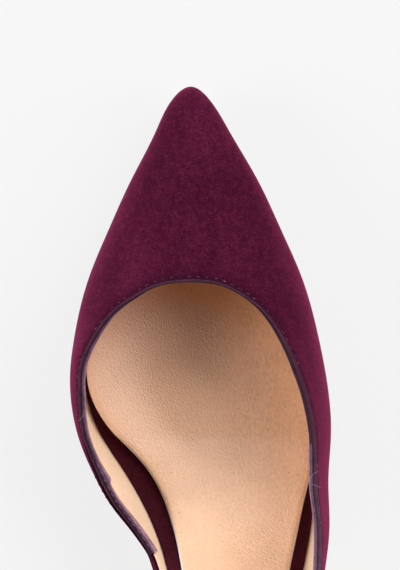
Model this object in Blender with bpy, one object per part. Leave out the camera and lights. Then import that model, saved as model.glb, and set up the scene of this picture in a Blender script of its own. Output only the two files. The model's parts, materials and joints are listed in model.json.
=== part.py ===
"""A right-foot stiletto pump in suede, cut low at the inner arch.

The shoe is drawn on its last. Plan positions are in millimetres: x runs across, towards the outer
side of the foot, and u runs back from the tip of the toe. Heights are above the floor.
"""

import math
from typing import NamedTuple

import bmesh
import bpy
import numpy as np
from mathutils import Vector

MM = 0.001

# Walls, layers and gaps
GAP = 0.3
WALL = 1.8
BOARD = 2.4
BOARD_TIP = 1.4
TIP_START = 0.02
SOCK = 1.5
SOCK_PAD = 1.2
PAD_U = 90.0
PAD_REACH = 45.0
OUTSOLE = 2.9
OUTSOLE_INSET = 1.1
OUTSOLE_EDGE = 0.7

# The bottom line, seen from the side
TREAD_FRONT = 82.0
TREAD_BACK = 106.0
TOE_SPRING = 5.2
TREAD_HEIGHT = OUTSOLE + GAP

# The heel
BREAST = 186.0
HEEL_FRONT = 189.0
HEEL_INSET = 0.5
HEEL_TOP_SIDES = 40
TIP_HEIGHT = 5.4
TIP_FLARE = 0.25

# How finely the pieces are divided
VAMP_COLUMNS = 17
EDGE_COLUMNS = 88
WALL_ROWS = 9
SOLE_STATIONS = 41
ARCH_STATIONS = 20
HEEL_RINGS = 13


class Section(NamedTuple):
    """One section of the last: where its walls aim, and its inner (med) and outer (lat) feet."""

    spine_u: float
    med_x: float
    med_u: float
    med_lean: float
    med_pull: float
    lat_x: float
    lat_u: float
    lat_lean: float
    lat_pull: float
    crown: float


class Spine(NamedTuple):
    """The top of the last along its middle."""

    u: float
    x: float
    height: float


class Rise(NamedTuple):
    """How far the bottom line has risen behind the tread."""

    u: float
    rise: float


class Edge(NamedTuple):
    """The collar: how far up the inner and outer wall it lies, measured along the wall."""

    spine_u: float
    med_girth: float
    lat_girth: float


class Border(NamedTuple):
    """How far the sock stays in from the edge of the board."""

    u: float
    med: float
    lat: float


class HeelRing(NamedTuple):
    """One ring of the heel: its share of the drop to the floor and its plan size."""

    drop: float
    half_width: float
    front_u: float
    back_u: float


ARCH = [
    Rise(TREAD_BACK, 0.0),
    Rise(116.0, 1.9),
    Rise(130.0, 7.2),
    Rise(147.0, 19.6),
    Rise(164.0, 36.6),
    Rise(181.0, 55.0),
    Rise(196.0, 68.4),
    Rise(213.0, 78.6),
    Rise(232.0, 86.0),
]

SPINE = [
    Spine(6.0, 0.2, 18.0),
    Spine(14.0, 0.4, 21.4),
    Spine(28.0, 0.8, 25.8),
    Spine(44.0, 0.8, 31.0),
    Spine(58.5, 0.4, 37.0),
    Spine(76.0, 1.5, 48.0),
    Spine(92.0, 3.0, 60.0),
    Spine(120.0, 8.0, 84.0),
    Spine(150.0, 12.5, 114.0),
    Spine(186.0, 10.5, 148.0),
    Spine(209.0, 9.5, 164.0),
]

LAST = [
    Section(6.0, 0.2, 0.2, 20.0, 6.0, 0.2, 0.2, 20.0, 6.0, 0.50),
    Section(7.4, -5.0, 4.0, 22.0, 6.0, 5.5, 4.0, 22.0, 6.0, 0.52),
    Section(14.0, -9.7, 13.4, 24.0, 8.0, 11.3, 13.4, 24.0, 8.0, 0.55),
    Section(28.0, -16.8, 28.0, 26.0, 11.0, 19.5, 28.0, 26.0, 11.0, 0.58),
    Section(44.0, -23.8, 44.0, 26.0, 14.0, 26.8, 44.0, 26.0, 14.0, 0.60),
    Section(57.9, -29.2, 57.9, 26.0, 17.0, 32.8, 57.9, 25.0, 16.0, 0.60),
    Section(76.0, -33.4, 76.0, 26.0, 20.0, 38.0, 76.0, 22.0, 18.0, 0.58),
    Section(92.0, -34.2, 92.0, 27.0, 23.0, 41.0, 92.0, 20.0, 20.0, 0.55),
    Section(106.0, -30.0, 106.0, 35.0, 27.5, 41.8, 106.0, 20.0, 21.0, 0.52),
    Section(120.0, -21.4, 120.0, 44.0, 31.0, 40.4, 120.0, 27.0, 19.0, 0.50),
    Section(134.0, -13.9, 134.0, 43.0, 33.0, 39.2, 134.0, 42.0, 18.0, 0.50),
    Section(150.0, -8.6, 150.0, 38.0, 36.0, 36.0, 150.0, 38.0, 22.0, 0.50),
    Section(168.0, -7.4, 168.0, 30.0, 38.0, 32.8, 168.0, 30.0, 30.0, 0.50),
    Section(186.0, -10.6, 187.0, 22.0, 38.0, 32.4, 187.0, 22.0, 36.0, 0.50),
    Section(200.0, -13.8, 204.0, 16.0, 40.0, 32.8, 204.0, 16.0, 40.0, 0.52),
    Section(206.5, -7.6, 224.8, 16.0, 42.0, 26.6, 224.8, 16.0, 42.0, 0.54),
    Section(209.0, 9.5, 232.0, 18.0, 43.0, 9.5, 232.0, 18.0, 43.0, 0.55),
]

THROAT = LAST[5]
COLLAR = [
    Edge(60.9, 37.0, 39.5),
    Edge(66.0, 32.0, 36.2),
    Edge(73.0, 28.5, 33.8),
    Edge(82.0, 26.5, 32.4),
    Edge(94.0, 25.5, 31.5),
    Edge(108.0, 25.0, 31.5),
    Edge(122.0, 21.0, 32.0),
    Edge(131.0, 11.5, 32.5),
    Edge(138.0, 5.6, 32.0),
    Edge(146.0, 3.2, 31.0),
    Edge(157.0, 3.0, 30.0),
    Edge(170.0, 3.0, 30.0),
    Edge(179.0, 7.0, 31.5),
    Edge(189.0, 25.0, 36.5),
    Edge(200.0, 46.0, 47.0),
    Edge(206.5, 52.0, 52.0),
]
BACK_GIRTH = 54.0
BINDING_FRONT_U = 143.0
BINDING_BACK_U = 178.0

SOCK_BORDER = [
    Border(0.0, 0.8, 0.8),
    Border(60.0, 0.8, 0.8),
    Border(92.0, 1.2, 0.8),
    Border(105.0, 4.0, 0.8),
    Border(117.0, 7.6, 1.0),
    Border(129.0, 6.9, 2.6),
    Border(150.0, 4.4, 4.0),
    Border(175.0, 3.6, 3.4),
    Border(200.0, 1.8, 1.8),
    Border(232.0, 1.4, 1.4),
]

HEEL = [
    HeelRing(0.0, 23.0, HEEL_FRONT, 231.3),
    HeelRing(0.07, 21.2, 196.0, 231.0),
    HeelRing(0.17, 16.6, 203.4, 229.8),
    HeelRing(0.30, 11.4, 208.6, 227.8),
    HeelRing(0.46, 8.0, 211.4, 225.8),
    HeelRing(0.64, 6.2, 212.8, 224.4),
    HeelRing(0.82, 5.2, 213.5, 223.7),
    HeelRing(1.0, 4.8, 213.8, 223.5),
]

# Binding section: out from the wall, and on past the collar's edge
BINDING_LIP = 0.35
BINDING_PROFILE = [
    (BINDING_LIP, 0.3),
    (BINDING_LIP, 0.9),
    (-0.1, 1.4),
    (-0.5 * WALL, 1.6),
    (0.1 - WALL, 1.4),
    (-WALL - BINDING_LIP, 0.9),
    (-WALL - BINDING_LIP, 0.3),
]

SUEDE = ("suede", (0.085, 0.010, 0.033), 0.95)
BINDING_TAPE = ("binding", (0.075, 0.035, 0.065), 0.7)
TAN_LEATHER = ("tan_leather", (0.68, 0.42, 0.26), 0.5)
SOLE_LEATHER = ("sole_leather", (0.46, 0.29, 0.17), 0.55)
TIP_RUBBER = ("tip_rubber", (0.02, 0.017, 0.017), 0.6)


def cubic_spline(knots, values, closed=False, flat_ends=(False, False)):
    """A curve with continuous curvature through the values, one row of them at each knot."""
    t = np.asarray(knots, float)
    y = np.asarray(values, float).reshape(len(t), -1)
    h = np.diff(t)
    slope = np.diff(y, axis=0) / h[:, None]
    system = np.zeros((len(t), len(t)))
    right = np.zeros_like(y)
    for i in range(1, len(t) - 1):
        system[i, i - 1 : i + 2] = h[i - 1], 2 * (h[i - 1] + h[i]), h[i]
        right[i] = 6 * (slope[i] - slope[i - 1])
    system[0, 0] = system[-1, -1] = 1.0
    if closed:
        system[0, -1] = -1.0
        system[-1] = 0.0
        system[-1, :2] = 2 * h[0], h[0]
        system[-1, -2:] += h[-1], 2 * h[-1]
        right[-1] = 6 * (slope[0] - slope[-1])
    if flat_ends[0]:
        system[0, :2] = 2 * h[0], h[0]
        right[0] = 6 * slope[0]
    if flat_ends[1]:
        system[-1, -2:] = h[-1], 2 * h[-1]
        right[-1] = -6 * slope[-1]
    bend = np.linalg.solve(system, right)

    def curve(at):
        at = np.atleast_1d(np.asarray(at, float))
        i = np.clip(np.searchsorted(t, at, side="right") - 1, 0, len(t) - 2)
        a = ((t[i + 1] - at) / h[i])[:, None]
        b = 1.0 - a
        step = (h[i] ** 2 / 6)[:, None]
        return a * y[i] + b * y[i + 1] + ((a**3 - a) * bend[i] + (b**3 - b) * bend[i + 1]) * step

    return curve


def running_length(points):
    """Distance along a row of points, from its start to each of them."""
    steps = np.linalg.norm(np.diff(points, axis=0), axis=1)
    return np.concatenate([[0.0], np.cumsum(steps)])


def column(rows, name):
    """One named column of a table."""
    return [getattr(row, name) for row in rows]


arch_curve = cubic_spline(column(ARCH, "u"), column(ARCH, "rise"), flat_ends=(True, False))
spine_curve = cubic_spline(column(SPINE, "u"), [(row.x, row.height) for row in SPINE])


def bottom_height(u):
    """Height of the bottom line, on which the wall and the board stand."""
    u = np.asarray(u, float)
    spring = TOE_SPRING * (np.clip(TREAD_FRONT - u, 0, None) / TREAD_FRONT) ** 2
    arch = arch_curve(np.maximum(u, TREAD_BACK).ravel())[:, 0].reshape(u.shape)
    return TREAD_HEIGHT + spring + arch


def bottom_point(u, lift):
    """The bottom line's (u, height) at stations u, moved off it by lift along its normal."""
    probe = 0.05
    slope = (bottom_height(u + probe) - bottom_height(u - probe)) / (2 * probe)
    run = 1.0 / np.sqrt(1.0 + slope**2)
    return u - lift * slope * run, bottom_height(u) + lift * run


# The loop round the shoe, from the heel's back by the inner side to the toe and back again

INNER_LOOP = [(r.med_x, r.med_u, r.spine_u, r.med_lean, r.med_pull, r.crown) for r in reversed(LAST)]
OUTER_LOOP = [(r.lat_x, r.lat_u, r.spine_u, r.lat_lean, r.lat_pull, r.crown) for r in LAST]
LOOP = np.array(INNER_LOOP + OUTER_LOOP[1:])
LOOP_KNOTS = running_length(LOOP[:, :2])
LOOP_LENGTH = LOOP_KNOTS[-1]
TOE_AT = LOOP_KNOTS[len(LAST) - 1]
loop_curve = cubic_spline(LOOP_KNOTS, LOOP, closed=True)


def last_points(s, share):
    """Points on the last: s runs round the loop, share from the foot of the wall (0) to the spine (1)."""
    foot_x, foot_u, spine_u, lean, pull, crown = loop_curve(np.mod(s, LOOP_LENGTH)).T
    spine_x, spine_z = spine_curve(spine_u).T
    foot_z = bottom_height(foot_u)
    reach = np.hypot(spine_x - foot_x, spine_u - foot_u)
    out = -pull * np.sin(np.radians(lean))
    up = foot_z + pull * np.cos(np.radians(lean))
    share = np.asarray(share, float)
    b1 = 3 * (1 - share) ** 2 * share
    b2 = 3 * (1 - share) * share**2
    b3 = share**3
    inward = (b1 * out + b2 * reach * (1 - crown) + b3 * reach) / reach
    height = (1 - share) ** 3 * foot_z + b1 * up + (b2 + b3) * spine_z
    x = foot_x + inward * (spine_x - foot_x)
    u = foot_u + inward * (spine_u - foot_u)
    return np.column_stack([x, u, height])


def loop_place(spine_u, outer_side):
    """Where on the loop the wall of one side aims at the spine's stations spine_u."""
    start, end = (TOE_AT, LOOP_LENGTH) if outer_side else (0.0, TOE_AT)
    s = np.linspace(start, end, 4000)
    aims = loop_curve(np.minimum(s, LOOP_LENGTH - 1e-6))[:, 2]
    order = np.argsort(aims)
    return np.interp(spine_u, aims[order], s[order])


def share_at_girth(s, girth):
    """How far from foot to spine a point lies that is girth up the wall at s."""
    shares = np.linspace(0, 1, 400)
    wall = last_points(np.full_like(shares, s), shares)
    return float(np.interp(girth, running_length(wall), shares))


def collar_curve():
    """The collar as a curve of (s, share), from the throat by the inner side round the heel to the throat."""
    throat_u = THROAT.spine_u
    rows = [(float(loop_place(throat_u, False)), 1.0)]
    for edge in COLLAR:
        s = float(loop_place(edge.spine_u, False))
        rows.append((s, share_at_girth(s, edge.med_girth)))
    rows.append((0.0, share_at_girth(0.0, BACK_GIRTH)))
    for edge in reversed(COLLAR):
        s = float(loop_place(edge.spine_u, True))
        rows.append((s - LOOP_LENGTH, share_at_girth(s, edge.lat_girth)))
    rows.append((float(loop_place(throat_u, True)) - LOOP_LENGTH, 1.0))
    rows = np.array(rows)
    knots = running_length(last_points(rows[:, 0], rows[:, 1]))
    place = cubic_spline(knots, rows[:, 0], flat_ends=(True, True))
    share = cubic_spline(knots, rows[:, 1])
    return knots[-1], lambda q: (place(q)[:, 0], np.clip(share(q)[:, 0], 0, 1))


COLLAR_LENGTH, collar_at = collar_curve()


def to_world(points):
    """Plan millimetres (x, u, height) as metres, with the toe towards +Y."""
    points = np.asarray(points, float)
    return np.column_stack([points[:, 0], -points[:, 1], points[:, 2]]) * MM


def finish_object(name, bm, finish):
    """Turns a bmesh into a named object with its finish."""
    bmesh.ops.recalc_face_normals(bm, faces=bm.faces[:])
    mesh = bpy.data.meshes.new(name)
    bm.to_mesh(mesh)
    bm.free()
    mesh.shade_smooth()
    mesh.set_sharp_from_angle(angle=math.radians(40))
    obj = bpy.data.objects.new(name, mesh)
    bpy.context.scene.collection.objects.link(obj)
    mesh.materials.append(make_material(name, *finish))
    return obj


def make_material(piece, finish, colour, roughness):
    """A plain finish for one piece."""
    material = bpy.data.materials.new(f"{piece}_{finish}")
    material.use_nodes = True
    shader = material.node_tree.nodes["Principled BSDF"]
    shader.inputs["Base Color"].default_value = (*colour, 1.0)
    shader.inputs["Roughness"].default_value = roughness
    shader.inputs["Metallic"].default_value = 0.0
    return material


def skin(name, rings, finish):
    """A closed solid through rings of points, capped at its two ends."""
    bm = bmesh.new()
    loops = [[bm.verts.new(p) for p in to_world(ring)] for ring in rings]
    count = len(loops[0])
    for low, high in zip(loops, loops[1:]):
        for i in range(count):
            j = (i + 1) % count
            bm.faces.new((low[i], low[j], high[j], high[i]))
    bm.faces.new(loops[0])
    bm.faces.new(reversed(loops[-1]))
    bmesh.ops.triangulate(bm, faces=[f for f in bm.faces if len(f.verts) > 4])
    return finish_object(name, bm, finish)


def wall_columns():
    """The columns of the upper's wall, as (s, highest share), in order round the shoe from the toe."""
    ease = np.linspace(0, 1, VAMP_COLUMNS + 1)[1:]
    first, last = LAST[0].spine_u, THROAT.spine_u
    aims = first + (last - first) * ease**1.8
    inner = [(s, 1.0) for s in loop_place(aims, False)]
    outer = [(s, 1.0) for s in loop_place(aims, True)]
    q = np.linspace(0, COLLAR_LENGTH, EDGE_COLUMNS + 1)[1:-1]
    collar = list(zip(*collar_at(q)))
    return [(TOE_AT, 1.0)] + inner + collar + outer[::-1]


def make_upper():
    """The hollow upper: the last's surface up to the collar, with a wall inside it."""
    columns = wall_columns()
    count = len(columns)
    rows = np.linspace(0, 1, WALL_ROWS + 1)
    bm = bmesh.new()
    outside = [
        [bm.verts.new(p) for p in to_world(last_points(np.full_like(rows, s), rows * top))]
        for s, top in columns
    ]
    for k in range(1, VAMP_COLUMNS + 1):
        bm.verts.remove(outside[-k][-1])
        outside[-k][-1] = outside[k][-1]
    for a, b in zip(outside, outside[1:] + outside[:1]):
        for i in range(WALL_ROWS):
            corners = list(dict.fromkeys((a[i], a[i + 1], b[i + 1], b[i])))
            bm.faces.new(corners)
    bm.normal_update()
    middle = sum((v.co for v in bm.verts), Vector()) / len(bm.verts)
    probe = outside[0][2]
    inward = -1.0 if probe.normal.dot(probe.co - middle) > 0 else 1.0
    inner_of = {}
    for v in list(bm.verts):
        inner_of[v] = bm.verts.new(v.co + v.normal * (inward * WALL * MM))
    for a in outside:
        foot = inner_of[a[0]]
        flat = Vector((a[0].normal.x, a[0].normal.y, 0)).normalized()
        foot.co = a[0].co + flat * (inward * WALL * MM)
        foot.co.z = float(bottom_height(-foot.co.y / MM)) * MM
    for face in list(bm.faces):
        bm.faces.new([inner_of[v] for v in reversed(face.verts)])
    for j in range(count):
        a, b = outside[j], outside[(j + 1) % count]
        bm.faces.new((a[0], b[0], inner_of[b[0]], inner_of[a[0]]))
        if VAMP_COLUMNS <= j <= count - VAMP_COLUMNS - 1:
            bm.faces.new((a[-1], inner_of[a[-1]], inner_of[b[-1]], b[-1]))
    return finish_object("upper", bm, SUEDE)


def collar_frames(q):
    """Points along the collar with the wall's outward normal and the way on past the edge."""
    step = 0.4
    s, share = collar_at(q)
    ahead = last_points(*collar_at(q + step))
    behind = last_points(*collar_at(q - step))
    edge = last_points(s, share)
    below = last_points(s, share - 0.01)
    along = ahead - behind
    up = edge - below
    normal = np.cross(along, up)
    normal /= np.linalg.norm(normal, axis=1)[:, None]
    beyond = np.cross(normal, along)
    beyond /= np.linalg.norm(beyond, axis=1)[:, None]
    beyond *= np.sign((beyond * up).sum(axis=1))[:, None]
    return edge, normal, beyond


def make_binding():
    """The binding along the collar, from the inner wing by the throat and heel to the counter's inner end."""
    fine = np.linspace(0, COLLAR_LENGTH, 2000)
    s = collar_at(fine)[0]
    front = float(np.interp(-loop_place(BINDING_FRONT_U, False), -s, fine))
    back = float(np.interp(-loop_place(BINDING_BACK_U, False), -s, fine))
    q = np.linspace(front, back - COLLAR_LENGTH, EDGE_COLUMNS + 1)
    edge, normal, beyond = collar_frames(np.mod(q, COLLAR_LENGTH))
    sign = outward_sign(edge, normal)
    rings = [
        [edge[i] + sign * out * normal[i] + on * beyond[i] for out, on in BINDING_PROFILE]
        for i in range(len(q))
    ]
    return skin("topline_binding", rings, BINDING_TAPE)


def outward_sign(edge, normal):
    """1 where the normals point out of the shoe, and -1 where they point in."""
    middle = edge.mean(axis=0)
    return 1.0 if ((edge - middle)[:, :2] * normal[:, :2]).sum() > 0 else -1.0


def outline(inset):
    """The foot of the wall in plan, moved in by inset: inner x and outer x as functions of u."""
    s = np.linspace(0, LOOP_LENGTH, 1601)[:-1]
    plan = loop_curve(s)[:, :2]
    along = np.roll(plan, -1, axis=0) - np.roll(plan, 1, axis=0)
    along /= np.linalg.norm(along, axis=1)[:, None]
    moved = plan + inset * np.column_stack([along[:, 1], -along[:, 0]]) * turn_sign(plan)
    toe = int(np.argmin(moved[:, 1]))
    back = int(np.argmax(moved[:, 1]))
    inner = np.roll(moved, -back, axis=0)[: (toe - back) % len(moved) + 1][::-1]
    outer = np.roll(moved, -toe, axis=0)[: (back - toe) % len(moved) + 1]

    def inner_x(u):
        return np.interp(u, inner[:, 1], inner[:, 0])

    def outer_x(u):
        return np.interp(u, outer[:, 1], outer[:, 0])

    return (moved[toe, 1], moved[back, 1]), inner_x, outer_x


def turn_sign(plan):
    """Which way round a closed plan curve runs, as 1 or -1."""
    x, u = plan.T
    area = (x * np.roll(u, -1) - u * np.roll(x, -1)).sum()
    return -1.0 if area > 0 else 1.0


def stations(front, back):
    """Places along the shoe from front to back, closer together at both ends."""
    return front + (back - front) * (1 - np.cos(np.linspace(0, math.pi, SOLE_STATIONS))) / 2


def slab(name, u, inner_x, outer_x, low, high, finish, edge=0.0, dome=None):
    """A layer that follows the bottom line between two lifts, with eased lower edges and a domed top."""
    rings = []
    for k, station in enumerate(u):
        left, right = inner_x[k], outer_x[k]
        ease = min(edge, 0.3 * (right - left))
        across = [left, left + ease, right - ease, right]
        lifts = [low + edge, low, low, low + edge]
        crown = 0.0 if dome is None else float(dome(station))
        shares = np.linspace(1, 0, 9 if dome is not None else 3)
        across += list(left + (right - left) * shares)
        lifts += list(high + crown * (1 - (2 * shares - 1) ** 2))
        if edge == 0.0:
            across, lifts = [left, right] + across[4:], [low, low] + lifts[4:]
        line_u, line_z = bottom_point(np.full(len(lifts), station), np.array(lifts))
        rings.append(np.column_stack([across, line_u, line_z]))
    return skin(name, rings, finish)


def make_outsole():
    """The thin sole, from the toe to the heel's breast."""
    (toe, _), inner, outer = outline(OUTSOLE_INSET)
    front = stations(toe + TIP_START, TREAD_FRONT)[::2]
    u = np.concatenate([front[:-1], [TREAD_FRONT], np.linspace(TREAD_BACK, BREAST, ARCH_STATIONS)])
    return slab("outsole", u, inner(u), outer(u), -GAP - OUTSOLE, -GAP, SOLE_LEATHER, edge=OUTSOLE_EDGE)


def make_board():
    """The wrapped insole board, inside the foot of the wall."""
    (toe, back), inner, outer = outline(WALL + GAP)
    u = stations(toe + BOARD_TIP, back - TIP_START)
    return slab("insole_board", u, inner(u), outer(u), 0.0, BOARD, SUEDE)


def make_sock():
    """The padded sock on the board, drawn in at the waist."""
    (toe, back), inner, outer = outline(WALL + GAP)
    border = cubic_spline(column(SOCK_BORDER, "u"), [(b.med, b.lat) for b in SOCK_BORDER])
    u = stations(toe + SOCK_BORDER[0].med + TIP_START, back - SOCK_BORDER[-1].med)
    med, lat = border(u).T
    low = BOARD + GAP
    high = low + SOCK
    return slab("insole_sock", u, inner(u) + med, outer(u) - lat, low, high, TAN_LEATHER, dome=sock_pad)


def sock_pad(u):
    """How far the padding lifts the middle of the sock, most under the ball of the foot."""
    return SOCK_PAD * math.exp(-(((u - PAD_U) / PAD_REACH) ** 2))


def heel_seat():
    """The seat's plan: round the back from the breast's outer end, then across the breast."""
    (_, back), inner, outer = outline(HEEL_INSET)
    half = HEEL_TOP_SIDES // 2
    turn = (1 - np.cos(np.linspace(0, math.pi, half))) / 2
    u = HEEL_FRONT + (back - TIP_START - HEEL_FRONT) * np.sin(np.linspace(0, math.pi / 2, half))
    outer_side = np.column_stack([outer(u), u])
    inner_side = np.column_stack([inner(u), u])[::-1]
    breast_x = inner(HEEL_FRONT) + (outer(HEEL_FRONT) - inner(HEEL_FRONT)) * turn[3:-3:3]
    breast = np.column_stack([breast_x, np.full(len(breast_x), HEEL_FRONT)])
    return np.vstack([outer_side, inner_side[1:], breast])


def make_heel():
    """The covered heel, from the seat down to its tip, and the top piece under it."""
    seat = heel_seat()
    centre_x = LAST[-1].med_x
    sizes = cubic_spline(column(HEEL, "drop"), [(r.half_width, r.front_u, r.back_u) for r in HEEL])
    front, back = seat[:, 1].min(), seat[:, 1].max()
    along = (seat[:, 1] - front) / (back - front)
    across = (seat[:, 0] - centre_x) / HEEL[0].half_width
    seat_z = bottom_point(seat[:, 1], np.full(len(seat), -GAP))[1]
    foot_z = TIP_HEIGHT + GAP
    rings = []
    for drop in np.linspace(0, 1, HEEL_RINGS) ** 1.3:
        half, low_u, high_u = sizes(drop)[0]
        plan_x = centre_x + across * half
        plan_u = low_u + along * (high_u - low_u)
        rings.append(np.column_stack([plan_x, plan_u, seat_z + drop * (foot_z - seat_z)]))
    heel = skin("heel", rings, SUEDE)
    end = HEEL[-1]
    tip = np.column_stack([
        centre_x + across * (end.half_width + TIP_FLARE),
        end.front_u - TIP_FLARE + along * (end.back_u - end.front_u + 2 * TIP_FLARE),
    ])
    tip_rings = [np.column_stack([tip, np.full(len(tip), z)]) for z in (TIP_HEIGHT, 0.0)]
    return heel, skin("heel_tip", tip_rings, TIP_RUBBER)


def stand_on_origin(objects):
    """Hangs the pieces on an empty so that the middle of the shoe's footprint is at the origin."""
    corners = np.array([v.co for obj in objects for v in obj.data.vertices])
    low, high = corners.min(axis=0), corners.max(axis=0)
    shoe = bpy.data.objects.new("shoe", None)
    bpy.context.scene.collection.objects.link(shoe)
    shoe.location = (-(low[0] + high[0]) / 2, -(low[1] + high[1]) / 2, 0.0)
    for obj in objects:
        obj.parent = shoe


def main():
    """Clears the scene and builds the shoe."""
    for obj in list(bpy.data.objects):
        bpy.data.objects.remove(obj)
    heel, tip = make_heel()
    stand_on_origin([make_upper(), make_binding(), make_board(), make_sock(), make_outsole(), heel, tip])


main()
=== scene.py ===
"""The looks of a right-foot stiletto pump in suede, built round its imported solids.

The shoe is drawn on its last. Plan positions are in millimetres: x runs across, towards the outer side
of the foot, and u runs back from the tip of the toe. Heights are above the floor.
"""

import json
import logging
import math
from dataclasses import dataclass, replace
from enum import Enum
from functools import partial
from typing import Callable, NamedTuple, Sequence

import bpy
import numpy as np
from mathutils import Matrix, Vector
from mathutils.kdtree import KDTree

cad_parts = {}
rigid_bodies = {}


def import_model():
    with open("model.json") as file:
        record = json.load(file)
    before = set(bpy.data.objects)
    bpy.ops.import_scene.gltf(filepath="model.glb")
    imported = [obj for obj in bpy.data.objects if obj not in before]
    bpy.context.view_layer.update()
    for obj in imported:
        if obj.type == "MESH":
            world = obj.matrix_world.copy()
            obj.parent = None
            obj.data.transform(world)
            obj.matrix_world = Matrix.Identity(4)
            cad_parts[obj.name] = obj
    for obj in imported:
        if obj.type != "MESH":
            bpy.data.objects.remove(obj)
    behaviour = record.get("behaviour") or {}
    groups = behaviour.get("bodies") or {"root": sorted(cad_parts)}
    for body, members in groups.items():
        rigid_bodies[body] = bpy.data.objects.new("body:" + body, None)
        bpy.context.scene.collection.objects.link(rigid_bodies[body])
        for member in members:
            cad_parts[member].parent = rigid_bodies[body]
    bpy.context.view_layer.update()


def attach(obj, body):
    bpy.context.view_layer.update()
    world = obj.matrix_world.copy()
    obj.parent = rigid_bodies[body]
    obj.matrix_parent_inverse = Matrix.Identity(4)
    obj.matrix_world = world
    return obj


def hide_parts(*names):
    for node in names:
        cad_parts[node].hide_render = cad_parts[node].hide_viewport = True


LOG = logging.getLogger("pump")
MM = 0.001
MERGE = 2e-6
TINY = 1e-6
BODY = "root"
MIRROR = np.array([1.0, -1.0, 1.0])
FOOT_U, SPINE_U, LEAN = 1, 2, 3
TAPE, RIM, WALL = 1, 2, 4
MIX_INPUTS = (0, 6, 7)
MIX_OUTPUT = 2
MERGE_DOUBLES = partial(bpy.ops.mesh.remove_doubles, threshold=MERGE)
FILL_ENDS = partial(bpy.ops.mesh.fill_holes, sides=0)
TURN_OUT = partial(bpy.ops.mesh.normals_make_consistent, inside=False)

Colour = tuple[float, float, float]
Piece = bpy.types.Object
Socket = bpy.types.NodeSocket


class Side(Enum):
    """The two sides of the foot."""

    INNER = "inner"
    OUTER = "outer"


class Slot(Enum):
    """The record's material slots."""

    SUEDE = "suede"
    BINDING = "binding"
    BOARD = "board_cover"
    SOCK = "sock_leather"
    SOLE = "sole_leather"
    HEEL = "heel_cover"
    TIP = "tip_rubber"


class Section(NamedTuple):
    """One section of the last: where its walls aim, and its inner (med) and outer (lat) feet."""

    spine_u: float
    med_x: float
    med_u: float
    med_lean: float
    med_pull: float
    lat_x: float
    lat_u: float
    lat_lean: float
    lat_pull: float
    crown: float


class Spine(NamedTuple):
    """The top of the last along its middle."""

    u: float
    x: float
    height: float


class Rise(NamedTuple):
    """How far the bottom line has risen behind the tread."""

    u: float
    rise: float


class Edge(NamedTuple):
    """The collar: how far up the inner and outer wall it lies, measured along the wall."""

    spine_u: float
    med_girth: float
    lat_girth: float


class Border(NamedTuple):
    """How far the sock stays in from the edge of the board."""

    u: float
    med: float
    lat: float


class Binding(NamedTuple):
    """How the collar is bound: how far in over the edge the suede is turned and the tape and its folded
    flap reach, how far the flap hangs down, and the share of its thickness that the wall keeps."""

    turned: float
    tape: float
    rim: float
    drop: float
    wall: float


class Fold(NamedTuple):
    """A point of the folded flap: its share of the way from the tape to the rim, how far it lies under
    that, how far on past the edge it is, and its share of the flap's drop."""

    share: float
    under: float
    on: float
    fall: float


class Stray(NamedTuple):
    """An unevenness along a strip: how many rings lie between its turns and how far it strays."""

    every: int
    size: float


class Strand(NamedTuple):
    """A loose end of thread: where on the collar it starts, its points out from the wall and on past the
    edge, and how far along the collar it drifts."""

    u: float
    side: Side
    path: tuple[tuple[float, float], ...]
    drift: float


class SoftBox(NamedTuple):
    """A studio light: its bearing from the toe towards the outer side, its height angle and its power;
    a card shows in highlights alone."""

    name: str
    bearing: float
    elevation: float
    power: float
    size: float
    gloss_only: bool = False


class TipRing(NamedTuple):
    """One ring of the top piece: its height and how far it stands out."""

    height: float
    grown: float


class HeelRing(NamedTuple):
    """One ring of the heel: its share of the drop to the floor and its plan size."""

    drop: float
    half_width: float
    front_u: float
    back_u: float


ARCH = [
    Rise(106.0, 0.0),
    Rise(116.0, 1.9),
    Rise(130.0, 7.2),
    Rise(147.0, 19.6),
    Rise(164.0, 36.6),
    Rise(181.0, 55.0),
    Rise(196.0, 68.4),
    Rise(213.0, 78.6),
    Rise(232.0, 86.0),
]

SPINE = [
    Spine(6.0, 0.2, 18.0),
    Spine(14.0, 0.4, 21.4),
    Spine(28.0, 0.8, 25.8),
    Spine(44.0, 0.8, 31.0),
    Spine(58.5, 0.4, 37.0),
    Spine(76.0, 1.5, 48.0),
    Spine(92.0, 3.0, 60.0),
    Spine(120.0, 8.0, 84.0),
    Spine(150.0, 12.5, 114.0),
    Spine(186.0, 10.5, 148.0),
    Spine(209.0, 9.5, 164.0),
]

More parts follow.
